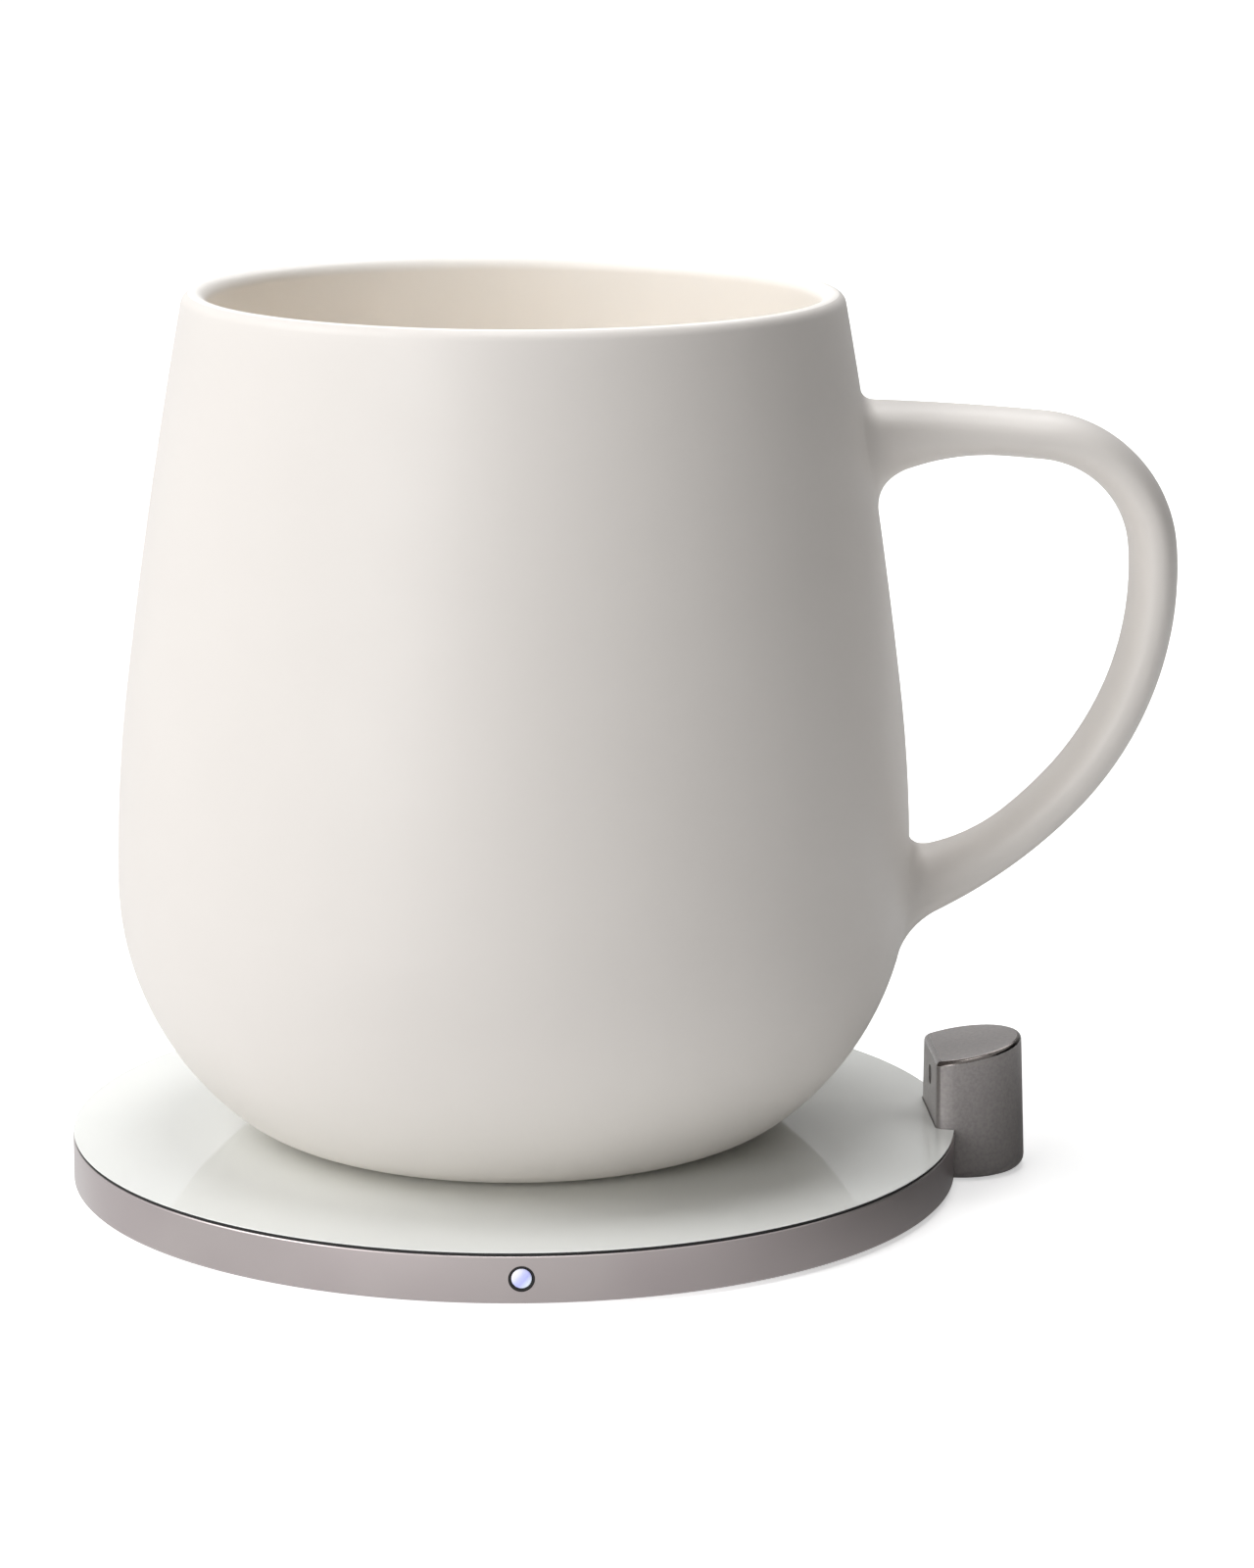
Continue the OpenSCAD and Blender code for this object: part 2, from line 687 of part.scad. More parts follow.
// Frosted button, lit from behind, with the wings that stop it on the rim's inside
module button_cap() {
    color("#E4E6F6") translate([0, 0, button_z]) {
        rod_y(button_d / 2, button_face_y, wing_back_y);
        translate([-wing_w / 2, wing_y, -wing_h / 2]) cube([wing_w, wing_t, wing_h]);
    }
}

module switch_plunger() {
    color("#D9D9D9") translate([0, 0, button_z]) rod_y(plunger_d / 2, wing_back_y, plunger_end_y);
}

// Metal shell of the power socket
module power_socket() {
    color("#C9C9CC") translate([0, 0, socket_z]) difference() {
        flat_bar_y(socket_w, socket_h, socket_back_y, socket_mouth_y);
        flat_bar_y(socket_w - 2 * socket_wall, socket_h - 2 * socket_wall, socket_back_y - CUT, pad_r);
    }
}

// Plastic block at the back of the socket with the contact tongue
module socket_tongue() {
    color("#1A1A1C") translate([0, 0, socket_z]) {
        flat_bar_y(
            socket_w - 2 * socket_wall, socket_h - 2 * socket_wall,
            socket_back_y, socket_back_y + socket_plug_l);
        translate([-tongue_w / 2, socket_back_y, -tongue_t / 2])
            cube([tongue_w, socket_l - tongue_recess, tongue_t]);
    }
}

// Hollow tower, open below and towards the pad's inside
module tower_shell() {
    color("#77716F") in_tower() difference() {
        union() {
            difference() {
                tower_solid(0, tower_foot_gap, tower_bevel);
                tower_solid(-tower_wall, 0);
            }
            intersection() {
                tower_solid(0, tower_foot_gap, tower_bevel);
                for (s = [-1, 1]) translate([tower_boss_x, s * tower_boss_y, base_top])
                    cylinder(r = tower_boss_r, h = tower_boss_top - base_top);
            }
        }
        translate([tower_flat_x - CUT, -passage_w / 2, -CUT])
            cube([tower_wall + 2 * CUT, passage_w, ledge_bottom + CUT]);
        for (s = [-1, 1]) translate([tower_boss_x, s * tower_boss_y, 0])
            cylinder(r = screw_d / 2 + SCREW_FIT, h = tower_boss_top - tower_hole_roof);
        at_window(tower_flat_x - CUT) cylinder(d = window_d, h = tower_wall + 2 * CUT);
    }
}

// Dark filter that the mug's warmth shines through
module sensor_window() {
    color("#0E0E10") in_tower()
        at_window(tower_flat_x + window_inset)
            cylinder(d = window_d - 2 * TINY, h = tower_wall - window_inset);
}

module infrared_sensor() {
    color("#8E8E92") in_tower()
        translate([tower_inner_x, -sensor_size / 2, pad_h + window_z - sensor_size / 2])
            cube([sensor_l, sensor_size, sensor_size]);
}

// Upright board behind the window
module tower_board() {
    color("#1F5B3A") in_tower() translate([tower_board_x, -tower_board_w / 2, base_top])
        cube([tower_board_t, tower_board_w, tower_board_top - base_top]);
}

// Flat cable from the control board up to the tower's board
module board_ribbon() {
    color("#C77B2B") in_tower() {
        translate([board_r - ribbon_overlap, -ribbon_w / 2, board_top])
            cube([tower_board_x - board_r + ribbon_overlap, ribbon_w, ribbon_t]);
        translate([tower_board_x - ribbon_t, -ribbon_w / 2, board_top])
            cube([ribbon_t, ribbon_w, ribbon_rise]);
    }
}

module tower_screws() {
    color("#B5B5B8") at_tower_screws() screw(foot_gap, tower_screw_l, 0);
}

// Ceramic cup with the heater's recess in its underside
module mug_body() {
    color("#E4E0DA") difference() {
        rotate_extrude() polygon(concat(
            [[0, mug_bottom]], mug_side(0, mug_bottom), mug_lip(),
            backwards(mug_side(mug_wall, cup_floor)), [[0, cup_floor]]));
        translate([0, 0, mug_bottom - CUT]) cylinder(r = recess_r, h = recess_top - mug_bottom + CUT);
        translate([0, 0, mug_bottom - CUT])
            ring(foot_ring_r + foot_ring_w / 2, foot_ring_r - foot_ring_w / 2, foot_ring_inset + CUT);
    }
}

// Strap handle swept along its places, cut to the mug's side
module mug_handle() {
    n = handle_sides;
    skin = [for (i = [0 : handle_last - 1]) for (k = [0 : n - 1])
        let (a = i * n + k, b = i * n + (k + 1) % n) each [[a, a + n, b + n], [a, b + n, b]]];
    near_end = [for (k = [0 : n - 1]) k];
    far_end = [for (k = [n - 1 : -1 : 0]) handle_last * n + k];
    color("#E0DCD6") difference() {
        polyhedron(
            points = [for (p = handle_places) each handle_section(p)],
            faces = concat([near_end], skin, [far_end]));
        rotate_extrude() polygon(concat(
            [[0, mug_bottom]], mug_side(0, mug_bottom), [[0, mug_top - lip_r]]));
    }
}

module mug_foot() {
    color("#E8E6E2") translate([0, 0, pad_h + foot_rest])
        ring(
            foot_ring_r + foot_ring_w / 2, foot_ring_r - foot_ring_w / 2,
            mug_lift - foot_rest + foot_ring_inset);
}

// Plate that closes the mug's underside, with a groove for its seal
module base_cover() {
    color("#D9D6D0") difference() {
        translate([0, 0, cover_bottom]) cylinder(r = recess_r - FIT, h = cover_t);
        translate([0, 0, cover_bottom + (cover_t - cover_seal_t) / 2])
            ring(recess_r + CUT, recess_r - cover_seal_w, cover_seal_t);
    }
}

module cover_seal() {
    color("#C9C9C4") translate([0, 0, cover_bottom + (cover_t - cover_seal_t) / 2])
        ring(recess_r, recess_r - cover_seal_w, cover_seal_t);
}

module receiver_coil() {
    color("#B8733A") translate([0, 0, cover_top + rx_wire_d / 2])
        flat_coil(rx_inner_r, rx_turns, rx_wire_d, rx_pitch);
}

module receiver_ferrite() {
    color("#3C3A3A") translate([0, 0, rx_top]) cylinder(r = disc_r, h = rx_ferrite_t);
}

module insulation_disc() {
    color("#E7DFC8") translate([0, 0, rx_ferrite_top]) ring(disc_r, cutout_d / 2 + FIT, insulation_t);
}

module heating_disc() {
    color("#8C7A66") translate([0, 0, insulation_top]) cylinder(r = disc_r, h = heater_t);
}

// Cut-out pressed against the underside of the heating disc
module thermal_cutout() {
    color("#B9BBBE") translate([0, 0, insulation_top - cutout_t]) cylinder(d = cutout_d, h = cutout_t);
}

pad_housing();
glass_top();
glass_gasket();
base_plate();
rubber_mat();
base_screws();
control_board();
controller_chip();
power_transistors();
resonant_capacitors();
coil_carrier();
ferrite_shield();
transmitter_coil();
thermal_pad();
pad_thermistor();
status_leds();
button_switch();
button_seal();
button_cap();
switch_plunger();
power_socket();
socket_tongue();
tower_shell();
sensor_window();
infrared_sensor();
tower_board();
board_ribbon();
tower_screws();
mug_body();
mug_handle();
mug_foot();
base_cover();
cover_seal();
receiver_coil();
receiver_ferrite();
insulation_disc();
heating_disc();
thermal_cutout();
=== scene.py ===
import bpy
import bmesh
import math
from mathutils import Matrix, Vector


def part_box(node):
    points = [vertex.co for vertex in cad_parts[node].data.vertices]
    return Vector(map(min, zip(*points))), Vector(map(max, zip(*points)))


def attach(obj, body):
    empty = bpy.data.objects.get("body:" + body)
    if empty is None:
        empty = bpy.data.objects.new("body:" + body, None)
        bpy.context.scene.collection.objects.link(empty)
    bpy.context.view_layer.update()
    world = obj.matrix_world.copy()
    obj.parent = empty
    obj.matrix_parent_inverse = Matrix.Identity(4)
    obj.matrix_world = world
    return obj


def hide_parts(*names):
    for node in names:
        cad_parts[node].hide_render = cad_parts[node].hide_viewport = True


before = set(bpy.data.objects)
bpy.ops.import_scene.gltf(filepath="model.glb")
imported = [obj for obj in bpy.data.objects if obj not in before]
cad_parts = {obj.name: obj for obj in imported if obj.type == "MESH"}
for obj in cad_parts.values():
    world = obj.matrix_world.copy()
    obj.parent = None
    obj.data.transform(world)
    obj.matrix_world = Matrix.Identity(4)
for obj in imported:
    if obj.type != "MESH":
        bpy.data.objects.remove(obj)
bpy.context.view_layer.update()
mm = 0.001
mergeReach = 0.0005 * mm     # points closer than this become one
print("frame: loaded", len(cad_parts), "nodes")


# shapes: outlines are lists of (radius, height) in mm

def lowOf(node):
    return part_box(node)[0] / mm


def highOf(node):
    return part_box(node)[1] / mm


def arcPoints(centre, radius, start, end, steps):
    turns = [math.radians(start + (end - start) * i / steps) for i in range(steps + 1)]
    return [(centre[0] + radius * math.cos(a), centre[1] + radius * math.sin(a)) for a in turns]


def softened(corners, steps=4):
    # corners are (x, y, rounding); the first and last stay as they are
    points = [corners[0][:2]]
    for before, here, after in zip(corners, corners[1:], corners[2:]):
        middle = Vector(here[:2])
        if here[2] == 0:
            points.append(here[:2])
            continue
        a = (Vector(before[:2]) - middle).normalized()
        b = (Vector(after[:2]) - middle).normalized()
        half = a.angle(b) / 2
        centre = middle + (a + b).normalized() * here[2] / math.sin(half)
        first = middle + a * here[2] / math.tan(half) - centre
        turn = first.angle_signed(middle + b * here[2] / math.tan(half) - centre)
        for i in range(steps + 1):
            spoke = Matrix.Rotation(-turn * i / steps, 2) @ first
            points.append(tuple(centre + spoke))
    return points + [corners[-1][:2]]


def shadeSmooth(mesh, crease=32):
    # edges that bend by more than crease degrees stay sharp
    mesh.polygons.foreach_set("use_smooth", [True] * len(mesh.polygons))
    mesh.set_sharp_from_angle(angle=math.radians(crease))


def tidied(mesh):
    shape = bmesh.new()
    shape.from_mesh(mesh)
    bmesh.ops.remove_doubles(shape, verts=shape.verts, dist=mergeReach)
    bmesh.ops.recalc_face_normals(shape, faces=shape.faces)
    shape.to_mesh(mesh)
    shape.free()
    shadeSmooth(mesh)
    return mesh


def loose(name, mesh):
    piece = bpy.data.objects.new(name, mesh)
    bpy.context.scene.collection.objects.link(piece)
    return piece


def finished(piece):
    # applies the piece's modifiers and leaves a plain mesh
    graph = bpy.context.evaluated_depsgraph_get()
    mesh = bpy.data.meshes.new_from_object(piece.evaluated_get(graph), depsgraph=graph)
    piece.modifiers.clear()
    piece.data = tidied(mesh)
    return piece


def skinned(name, rings, edgeAt=None):
    # closed shape through rings of equally many points, with a flat cap at each end
    # edgeAt(ring, point) says which faces get the piece's second finish
    count = len(rings[0])
    points = [Vector(p) * mm for ring in rings for p in ring]
    faces = [list(range(count)), [len(points) - 1 - i for i in range(count)]]
    finishes = [0, 0]
    for i in range(len(rings) - 1):
        for k in range(count):
            a, b = i * count + k, i * count + (k + 1) % count
            faces.append([a, b, b + count, a + count])
            finishes.append(1 if edgeAt and edgeAt(i, k) else 0)
    mesh = bpy.data.meshes.new(name)
    mesh.from_pydata(points, [], faces)
    mesh.polygons.foreach_set("material_index", finishes)
    return tidied(mesh)


def blockOf(name, lowest, highest):
    x0, y0, z0 = lowest
    x1, y1, z1 = highest
    outline = [(x0, y0), (x1, y0), (x1, y1), (x0, y1)]
    return skinned(name, [[(x, y, z) for x, y in outline] for z in (z0, z1)])


def combine(piece, mesh, operation):
    other = loose("other", mesh)
    join = piece.modifiers.new("combine", "BOOLEAN")
    join.operation = operation
    join.object = other
    join.solver = "EXACT"
    finished(piece)
    bpy.data.objects.remove(other)
    return piece


def carve(piece, mesh):
    return combine(piece, mesh, "DIFFERENCE")


def placed(piece, finishes, body, slot, *replaced):
    # finishes are listed in the order of the faces' material numbers
    indices = [face.material_index for face in piece.data.polygons]
    piece.data.materials.clear()
    for finish in finishes:
        piece.data.materials.append(finish)
    piece.data.polygons.foreach_set("material_index", [min(i, len(finishes) - 1) for i in indices])
    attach(piece, body)
    if replaced:
        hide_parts(*replaced)
    return piece


# node trees: one that turns an outline, one that sets copies on points

def addNode(tree, kind, values=None, **settings):
    # a value that is another node's output is linked
    node = tree.nodes.new(kind)
    for key, value in settings.items():
        setattr(node, key, value)
    for key, value in (values or {}).items():
        if isinstance(value, bpy.types.NodeSocket):
            tree.links.new(value, node.inputs[key])
        else:
            node.inputs[key].default_value = value
    return node


def mathOf(tree, operation, *values):
    return addNode(tree, "ShaderNodeMath", dict(enumerate(values)), operation=operation).outputs[0]


def newTree(name, inputs):
    tree = bpy.data.node_groups.new(name, "GeometryNodeTree")
    for label, kind in inputs:
        tree.interface.new_socket(label, in_out="INPUT", socket_type="NodeSocket" + kind)
    tree.interface.new_socket("Shape", in_out="OUTPUT", socket_type="NodeSocketGeometry")
    return tree, addNode(tree, "NodeGroupInput").outputs


def endTree(tree, shape, finish):
    realize = addNode(tree, "GeometryNodeRealizeInstances", {"Geometry": shape})
    paint = addNode(tree, "GeometryNodeSetMaterial", {"Geometry": realize.outputs[0], "Material": finish})
    addNode(tree, "NodeGroupOutput", {"Shape": paint.outputs[0]})
    return tree


def useTree(piece, tree, **values):
    modifier = piece.modifiers.new(tree.name, "NODES")
    modifier.node_group = tree
    for item in tree.interface.items_tree:
        key = item.name.replace(" ", "_")
        if key in values:
            modifier[item.identifier] = values[key]
    return finished(piece)


def makeTurningTree():
    tree, given = newTree("turnOutline", [
        ("Outline", "Geometry"), ("Steps round", "Int"), ("Outline points", "Int"), ("Finish", "Material")])
    # a grid with a column for each step round and a row for each point of the outline
    grid = addNode(tree, "GeometryNodeMeshGrid", {
        "Size X": 1.0, "Size Y": 1.0, "Vertices Y": given["Outline points"],
        "Vertices X": mathOf(tree, "ADD", given["Steps round"], 1.0)})
    place = addNode(tree, "GeometryNodeInputPosition").outputs[0]
    apart = addNode(tree, "ShaderNodeSeparateXYZ", {"Vector": place}).outputs
    turn = mathOf(tree, "MULTIPLY_ADD", apart["X"], math.tau, math.pi)
    up = mathOf(tree, "ADD", apart["Y"], 0.5)
    last = mathOf(tree, "SUBTRACT", given["Outline points"], 1.0)
    index = mathOf(tree, "MULTIPLY_ADD", up, last, 0.5)
    outline = addNode(tree, "GeometryNodeSampleIndex", {
        "Geometry": given["Outline"], "Value": place, "Index": index},
        data_type="FLOAT_VECTOR", domain="POINT")
    spin = addNode(tree, "ShaderNodeVectorRotate", {
        "Vector": outline.outputs[0], "Angle": turn}, rotation_type="Z_AXIS")
    move = addNode(tree, "GeometryNodeSetPosition", {
        "Geometry": grid.outputs["Mesh"], "Position": spin.outputs[0]})
    weld = addNode(tree, "GeometryNodeMergeByDistance", {
        "Geometry": move.outputs[0], "Distance": mergeReach})
    smooth = addNode(tree, "GeometryNodeSetShadeSmooth", {"Geometry": weld.outputs[0]})
    return endTree(tree, smooth.outputs[0], given["Finish"])


def makeCopyingTree():
    tree, given = newTree("setCopies", [
        ("Points", "Geometry"), ("Copied", "Object"), ("Turn", "Float"), ("Seed", "Int"),
        ("Finish", "Material")])
    source = addNode(tree, "GeometryNodeObjectInfo", {"Object": given["Copied"]}, transform_space="ORIGINAL")
    chance = addNode(tree, "FunctionNodeRandomValue", {"Seed": given["Seed"]}, data_type="FLOAT")
    high = [s for s in chance.inputs if s.name == "Max" and s.type == "VALUE"][0]
    drawn = [s for s in chance.outputs if s.type == "VALUE"][0]
    tree.links.new(given["Turn"], high)
    turn = addNode(tree, "ShaderNodeCombineXYZ", {"Z": drawn})
    copies = addNode(tree, "GeometryNodeInstanceOnPoints", {
        "Points": given["Points"], "Instance": source.outputs["Geometry"], "Rotation": turn.outputs[0]})
    return endTree(tree, copies.outputs[0], given["Finish"])


turningTree = makeTurningTree()
copyingTree = makeCopyingTree()


def turned(name, outline, finish, steps=192):
    mesh = bpy.data.meshes.new(name + "Outline")
    links = [(i, i + 1) for i in range(len(outline) - 1)]
    mesh.from_pydata([(r * mm, 0, z * mm) for r, z in outline], links, [])
    return useTree(loose(name, mesh), turningTree,
                   Steps_round=steps, Outline_points=len(outline), Finish=finish)


def copiesOf(name, master, points, finish, turn=0.0):
    # each copy is turned about Z by a drawn angle of up to turn radians
    mesh = bpy.data.meshes.new(name + "Points")
    mesh.from_pydata([Vector(p) * mm for p in points], [], [])
    made = useTree(loose(name, mesh), copyingTree, Copied=master, Turn=turn, Seed=7, Finish=finish)
    bpy.data.objects.remove(master)
    return made


print("trees: ready")


# finishes

def colourOf(text):
    parts = [int(text[i:i + 2], 16) / 255 for i in (1, 3, 5)]
    return [c / 12.92 if c <= 0.04045 else ((c + 0.055) / 1.055) ** 2.4 for c in parts] + [1.0]


def newFinish(name, colour, roughness, metallic=0.0, **sockets):
    finish = bpy.data.materials.new(name)
    finish.use_nodes = True
    shader = finish.node_tree.nodes["Principled BSDF"]
    shader.inputs["Base Color"].default_value = colourOf(colour)
    shader.inputs["Roughness"].default_value = roughness
    shader.inputs["Metallic"].default_value = metallic
    for key, value in sockets.items():
        shader.inputs[key.replace("_", " ")].default_value = value
    return finish


def feed(finish, **patterns):
    # links patterns to the shader's inputs
    tree = finish.node_tree
    for key, pattern in patterns.items():
        tree.links.new(pattern, tree.nodes["Principled BSDF"].inputs[key.replace("_", " ")])


def ownPlace(tree):
    # where a point lies on its piece, in metres from the origin
    return addNode(tree, "ShaderNodeTexCoord").outputs["Object"]


def noiseIn(finish, size, detail=3.0, stretch=(1, 1, 1)):
    # size is the width of the pattern's patches in mm
    tree = finish.node_tree
    spread = addNode(tree, "ShaderNodeMapping", {"Vector": ownPlace(tree), "Scale": stretch})
    noise = addNode(tree, "ShaderNodeTexNoise", {
        "Vector": spread.outputs[0], "Scale": 1 / (size * mm), "Detail": detail})
    return noise.outputs[0]


def rampOf(tree, pattern, *stops):
    # stops are (place, colour) in rising order
    ramp = addNode(tree, "ShaderNodeValToRGB", {0: pattern})
    ends = ramp.color_ramp.elements
    ends[0].position, ends[1].position = stops[0][0], stops[-1][0]
    for place, _ in stops[1:-1]:
        ends.new(place)
    for end, (_, colour) in zip(ends, stops):
        end.color = colourOf(colour)
    return ramp.outputs[0]


def tint(finish, pattern, first, second, low=0.35, high=0.65):
    feed(finish, Base_Color=rampOf(finish.node_tree, pattern, (low, first), (high, second)))


def roughen(finish, pattern, low, high):
    # a noise lies mostly between 0.3 and 0.7
    scale = addNode(finish.node_tree, "ShaderNodeMapRange", {
        "Value": pattern, "From Min": 0.3, "From Max": 0.7, "To Min": low, "To Max": high})
    feed(finish, Roughness=scale.outputs[0])


def emboss(finish, pattern, depth):
    # depth is in mm
    bump = addNode(finish.node_tree, "ShaderNodeBump", {
        "Height": pattern, "Strength": 1.0, "Distance": depth * mm})
    feed(finish, Normal=bump.outputs[0])


def glazeFinish(name, colour, other):
    # satin glaze: soft clouds in its colour and gloss, and a slow waviness
    finish = newFinish(name, colour, 0.5, Coat_Weight=0.12, Coat_Roughness=0.35)
    tint(finish, noiseIn(finish, 26, 2.0), colour, other, low=0.25, high=0.75)
    roughen(finish, noiseIn(finish, 9, 2.0), 0.46, 0.54)
    emboss(finish, noiseIn(finish, 14, 1.0), depth=0.02)
    return finish


def anodisedFinish():
    # smooth warm grey metal: only its gloss changes a little from place to place
    finish = newFinish("anodised", "#B0A8A7", 0.3, metallic=0.85)
    tint(finish, noiseIn(finish, 14, 1.0), "#AEA5A5", "#B3ABAA")
    roughen(finish, noiseIn(finish, 8, 0.0), 0.28, 0.32)
    return finish


def paintFinish():
    # metallic paint with a fine grain
    finish = newFinish("towerPaint", "#898482", 0.42, metallic=0.3)
    tint(finish, noiseIn(finish, 0.35), "#918C8C", "#9D9896")
    roughen(finish, noiseIn(finish, 0.4), 0.32, 0.42)
    emboss(finish, noiseIn(finish, 0.18, 2.0), depth=0.002)
    return finish


def glassFinish():
    finish = newFinish("whiteGlass", "#F2F4F1", 0.02, IOR=1.5)
    tint(finish, noiseIn(finish, 40), "#F0F2EF", "#F4F6F3")
    roughen(finish, noiseIn(finish, 12), 0.01, 0.03)
    return finish


def softFinish(name, colour, other, roughness=0.7, grain=0.4, depth=0.01):
    # rubber, plastic and felt: a slight change of colour and a fine grain
    finish = newFinish(name, colour, roughness)
    tint(finish, noiseIn(finish, 6), colour, other)
    roughen(finish, noiseIn(finish, 1.5), roughness - 0.08, roughness + 0.08)
    emboss(finish, noiseIn(finish, grain, 2.0), depth)
    return finish


def metalFinish(name, colour, other, roughness=0.28, stretch=(1, 1, 1)):
    # bare metal with a brushed grain, longer along an axis whose stretch is less than 1
    finish = newFinish(name, colour, roughness, metallic=1.0)
    tint(finish, noiseIn(finish, 3), colour, other)
    roughen(finish, noiseIn(finish, 0.3, 2.0, stretch), roughness - 0.08, roughness + 0.1)
    emboss(finish, noiseIn(finish, 0.12, 2.0, stretch), depth=0.0012)
    return finish


lensGlowAndHighlight = {
    "middle": (0, 0, 3.15 * mm),
    "towards": (0.75, 0, -0.66),    # its colours change in this direction: painted highlight at both ends, blue glow between
    "reach": 1.15,           # from the middle to the first and last colour, in mm
    "strength": 0.34,
    "colours": ((0.12, "#F4F4FF"), (0.45, "#C2C7F6"), (0.64, "#B9BEF4"), (0.9, "#E4EEFB")),
}


def lensFinish():
    # glows as if lit from behind, blue across the middle; the white at the upper left and the pale lower
    # right are painted highlights
    finish = newFinish("litLens", "#C6CCF6", 0.3, Emission_Strength=lensGlowAndHighlight["strength"])
    tree, reach = finish.node_tree, lensGlowAndHighlight["reach"]
    towards = [part / mm for part in lensGlowAndHighlight["towards"]]
    middle = addNode(tree, "ShaderNodeVectorMath", {
        0: ownPlace(tree), 1: lensGlowAndHighlight["middle"]}, operation="SUBTRACT")
    across = addNode(tree, "ShaderNodeVectorMath", {
        0: middle.outputs[0], 1: towards}, operation="DOT_PRODUCT")
    place = addNode(tree, "ShaderNodeMapRange", {
        "Value": across.outputs["Value"], "From Min": -reach, "From Max": reach})
    ramp = rampOf(tree, place.outputs[0], *lensGlowAndHighlight["colours"])
    feed(finish, Base_Color=ramp, Emission_Color=ramp)
    roughen(finish, noiseIn(finish, 0.5), 0.25, 0.35)
    return finish


def boardFinish():
    # solder mask with tracks under it
    finish = newFinish("circuitBoard", "#1F5B3A", 0.3, Coat_Weight=0.4)
    tracks = addNode(finish.node_tree, "ShaderNodeTexBrick", {
        "Vector": ownPlace(finish.node_tree),
        "Color1": colourOf("#1B5436"), "Color2": colourOf("#1E5C3B"), "Mortar": colourOf("#3E8052"),
        "Scale": 160.0, "Mortar Size": 0.035, "Brick Width": 1.4, "Row Height": 0.35})
    feed(finish, Base_Color=tracks.outputs["Color"])
    roughen(finish, noiseIn(finish, 2), 0.25, 0.35)
    emboss(finish, tracks.outputs["Fac"], depth=0.03)
    return finish


glaze = glazeFinish("glaze", "#E4DFDA", "#E7E2DD")
# painted light: a lighter copy of the glaze for the cup's inside and the lip's top
paintedLightGlaze = glazeFinish("paintedLightGlaze", "#FCF8F2", "#FDFAF6")
anodised = anodisedFinish()
towerPaint = paintFinish()
whiteGlass = glassFinish()
gasketBlack = softFinish("gasketBlack", "#0B0A0A", "#100F0F", 0.65, 0.3, 0.004)
matRubber = softFinish("matRubber", "#262628", "#2D2D30", 0.8, 0.35, 0.02)
basePlastic = softFinish("basePlastic", "#393839", "#3E3D3F", 0.55, 0.3, 0.012)
sealBlack = softFinish("sealBlack", "#0B0B0C", "#101011", 0.6, 0.25, 0.003)
litLens = lensFinish()
screwSteel = metalFinish("screwSteel", "#B2B2B6", "#BCBCBF")
socketSteel = metalFinish("socketSteel", "#C4C4C8", "#CECED1", 0.25, (1, 0.2, 1))
contactGold = metalFinish("contactGold", "#C9A24A", "#D4AF5A", 0.25)
# painted reflection: a darker copy of the tower's metal for its polished edges
paintedReflectionEdge = metalFinish("paintedReflectionEdge", "#5E5957", "#67625F", 0.22)
windowDark = newFinish("windowDark", "#0D0D0F", 0.08, Coat_Weight=0.6, Coat_Roughness=0.03)
tint(windowDark, noiseIn(windowDark, 2), "#0B0B0D", "#131316")
footSilicone = softFinish("footSilicone", "#E6E4E0", "#ECEAE6", 0.6, 0.4, 0.006)
coverPlastic = softFinish("coverPlastic", "#D7D4CE", "#DDDAD5", 0.5, 0.25, 0.01)
circuitBoard = boardFinish()
chipBlack = softFinish("chipBlack", "#18181A", "#1E1E20", 0.6, 0.2, 0.008)
capacitorTan = softFinish("capacitorTan", "#B59867", "#BEA173", 0.4, 0.2, 0.004)
carrierFilm = softFinish("carrierFilm", "#D5C187", "#DBC990", 0.35, 0.8, 0.003)
ferriteGrey = softFinish("ferriteGrey", "#393737", "#403E3E", 0.75, 0.25, 0.01)
copperWire = metalFinish("copperWire", "#B26C34", "#BF7B42", 0.3)
padGel = softFinish("padGel", "#96A3B1", "#9EABB8", 0.5, 0.6, 0.004)
sensorSteel = metalFinish("sensorSteel", "#8B8B90", "#949498", 0.25)
ribbonAmber = softFinish("ribbonAmber", "#C27627", "#CC8130", 0.3, 0.6, 0.003)
insulationFelt = softFinish("insulationFelt", "#E3DAC2", "#ECE5D1", 0.92, 0.3, 0.05)
heaterFilm = softFinish("heaterFilm", "#887663", "#917F6B", 0.45, 0.5, 0.004)
cutoutMetal = metalFinish("cutoutMetal", "#B6B8BB", "#BFC1C4", 0.25)
print("finishes: made", len(bpy.data.materials))


# mug

mug = {
    "radius": highOf("mug_body").x,
    "rim": highOf("mug_body").z,
    "underside": lowOf("mug_body").z,
    "widest": 34.8,          # height of the widest place
    "footCurve": 33.0,
    "footTurn": 50.0,        # degrees of that curve, then the tighter one round the foot
    "footEdge": 15.2,
    "waistCurve": 180.0,
    "waistHeight": 22.0,
    "topCurve": 700.0,
    "wall": 2.8,
    "floor": 15.4,
    "floorRound": 9.0,       # rounding between the cup's floor and wall
    "recessRadius": 21.5,
    "recessTop": highOf("heating_disc").z,
    "ringRadii": (22.6, 24.2),
    "ringTop": highOf("mug_foot").z,
    "softEdge": 0.25,
    "footSteps": 20,         # steps along each bend of its outline
    "bowlSteps": 36,
    "waistSteps": 12,
    "topSteps": 20,
    "lipSteps": 16,
    "floorSteps": 14,
    "stepsRound": 256,
}
waistTurn = math.asin(mug["waistHeight"] / mug["waistCurve"])
waistX = mug["radius"] - mug["waistCurve"]
topX = waistX + (mug["waistCurve"] - mug["topCurve"]) * math.cos(waistTurn)
topZ = mug["widest"] + (mug["waistCurve"] - mug["topCurve"]) * math.sin(waistTurn)
footX = mug["radius"] - mug["footCurve"]
footTurn = math.radians(mug["footTurn"])
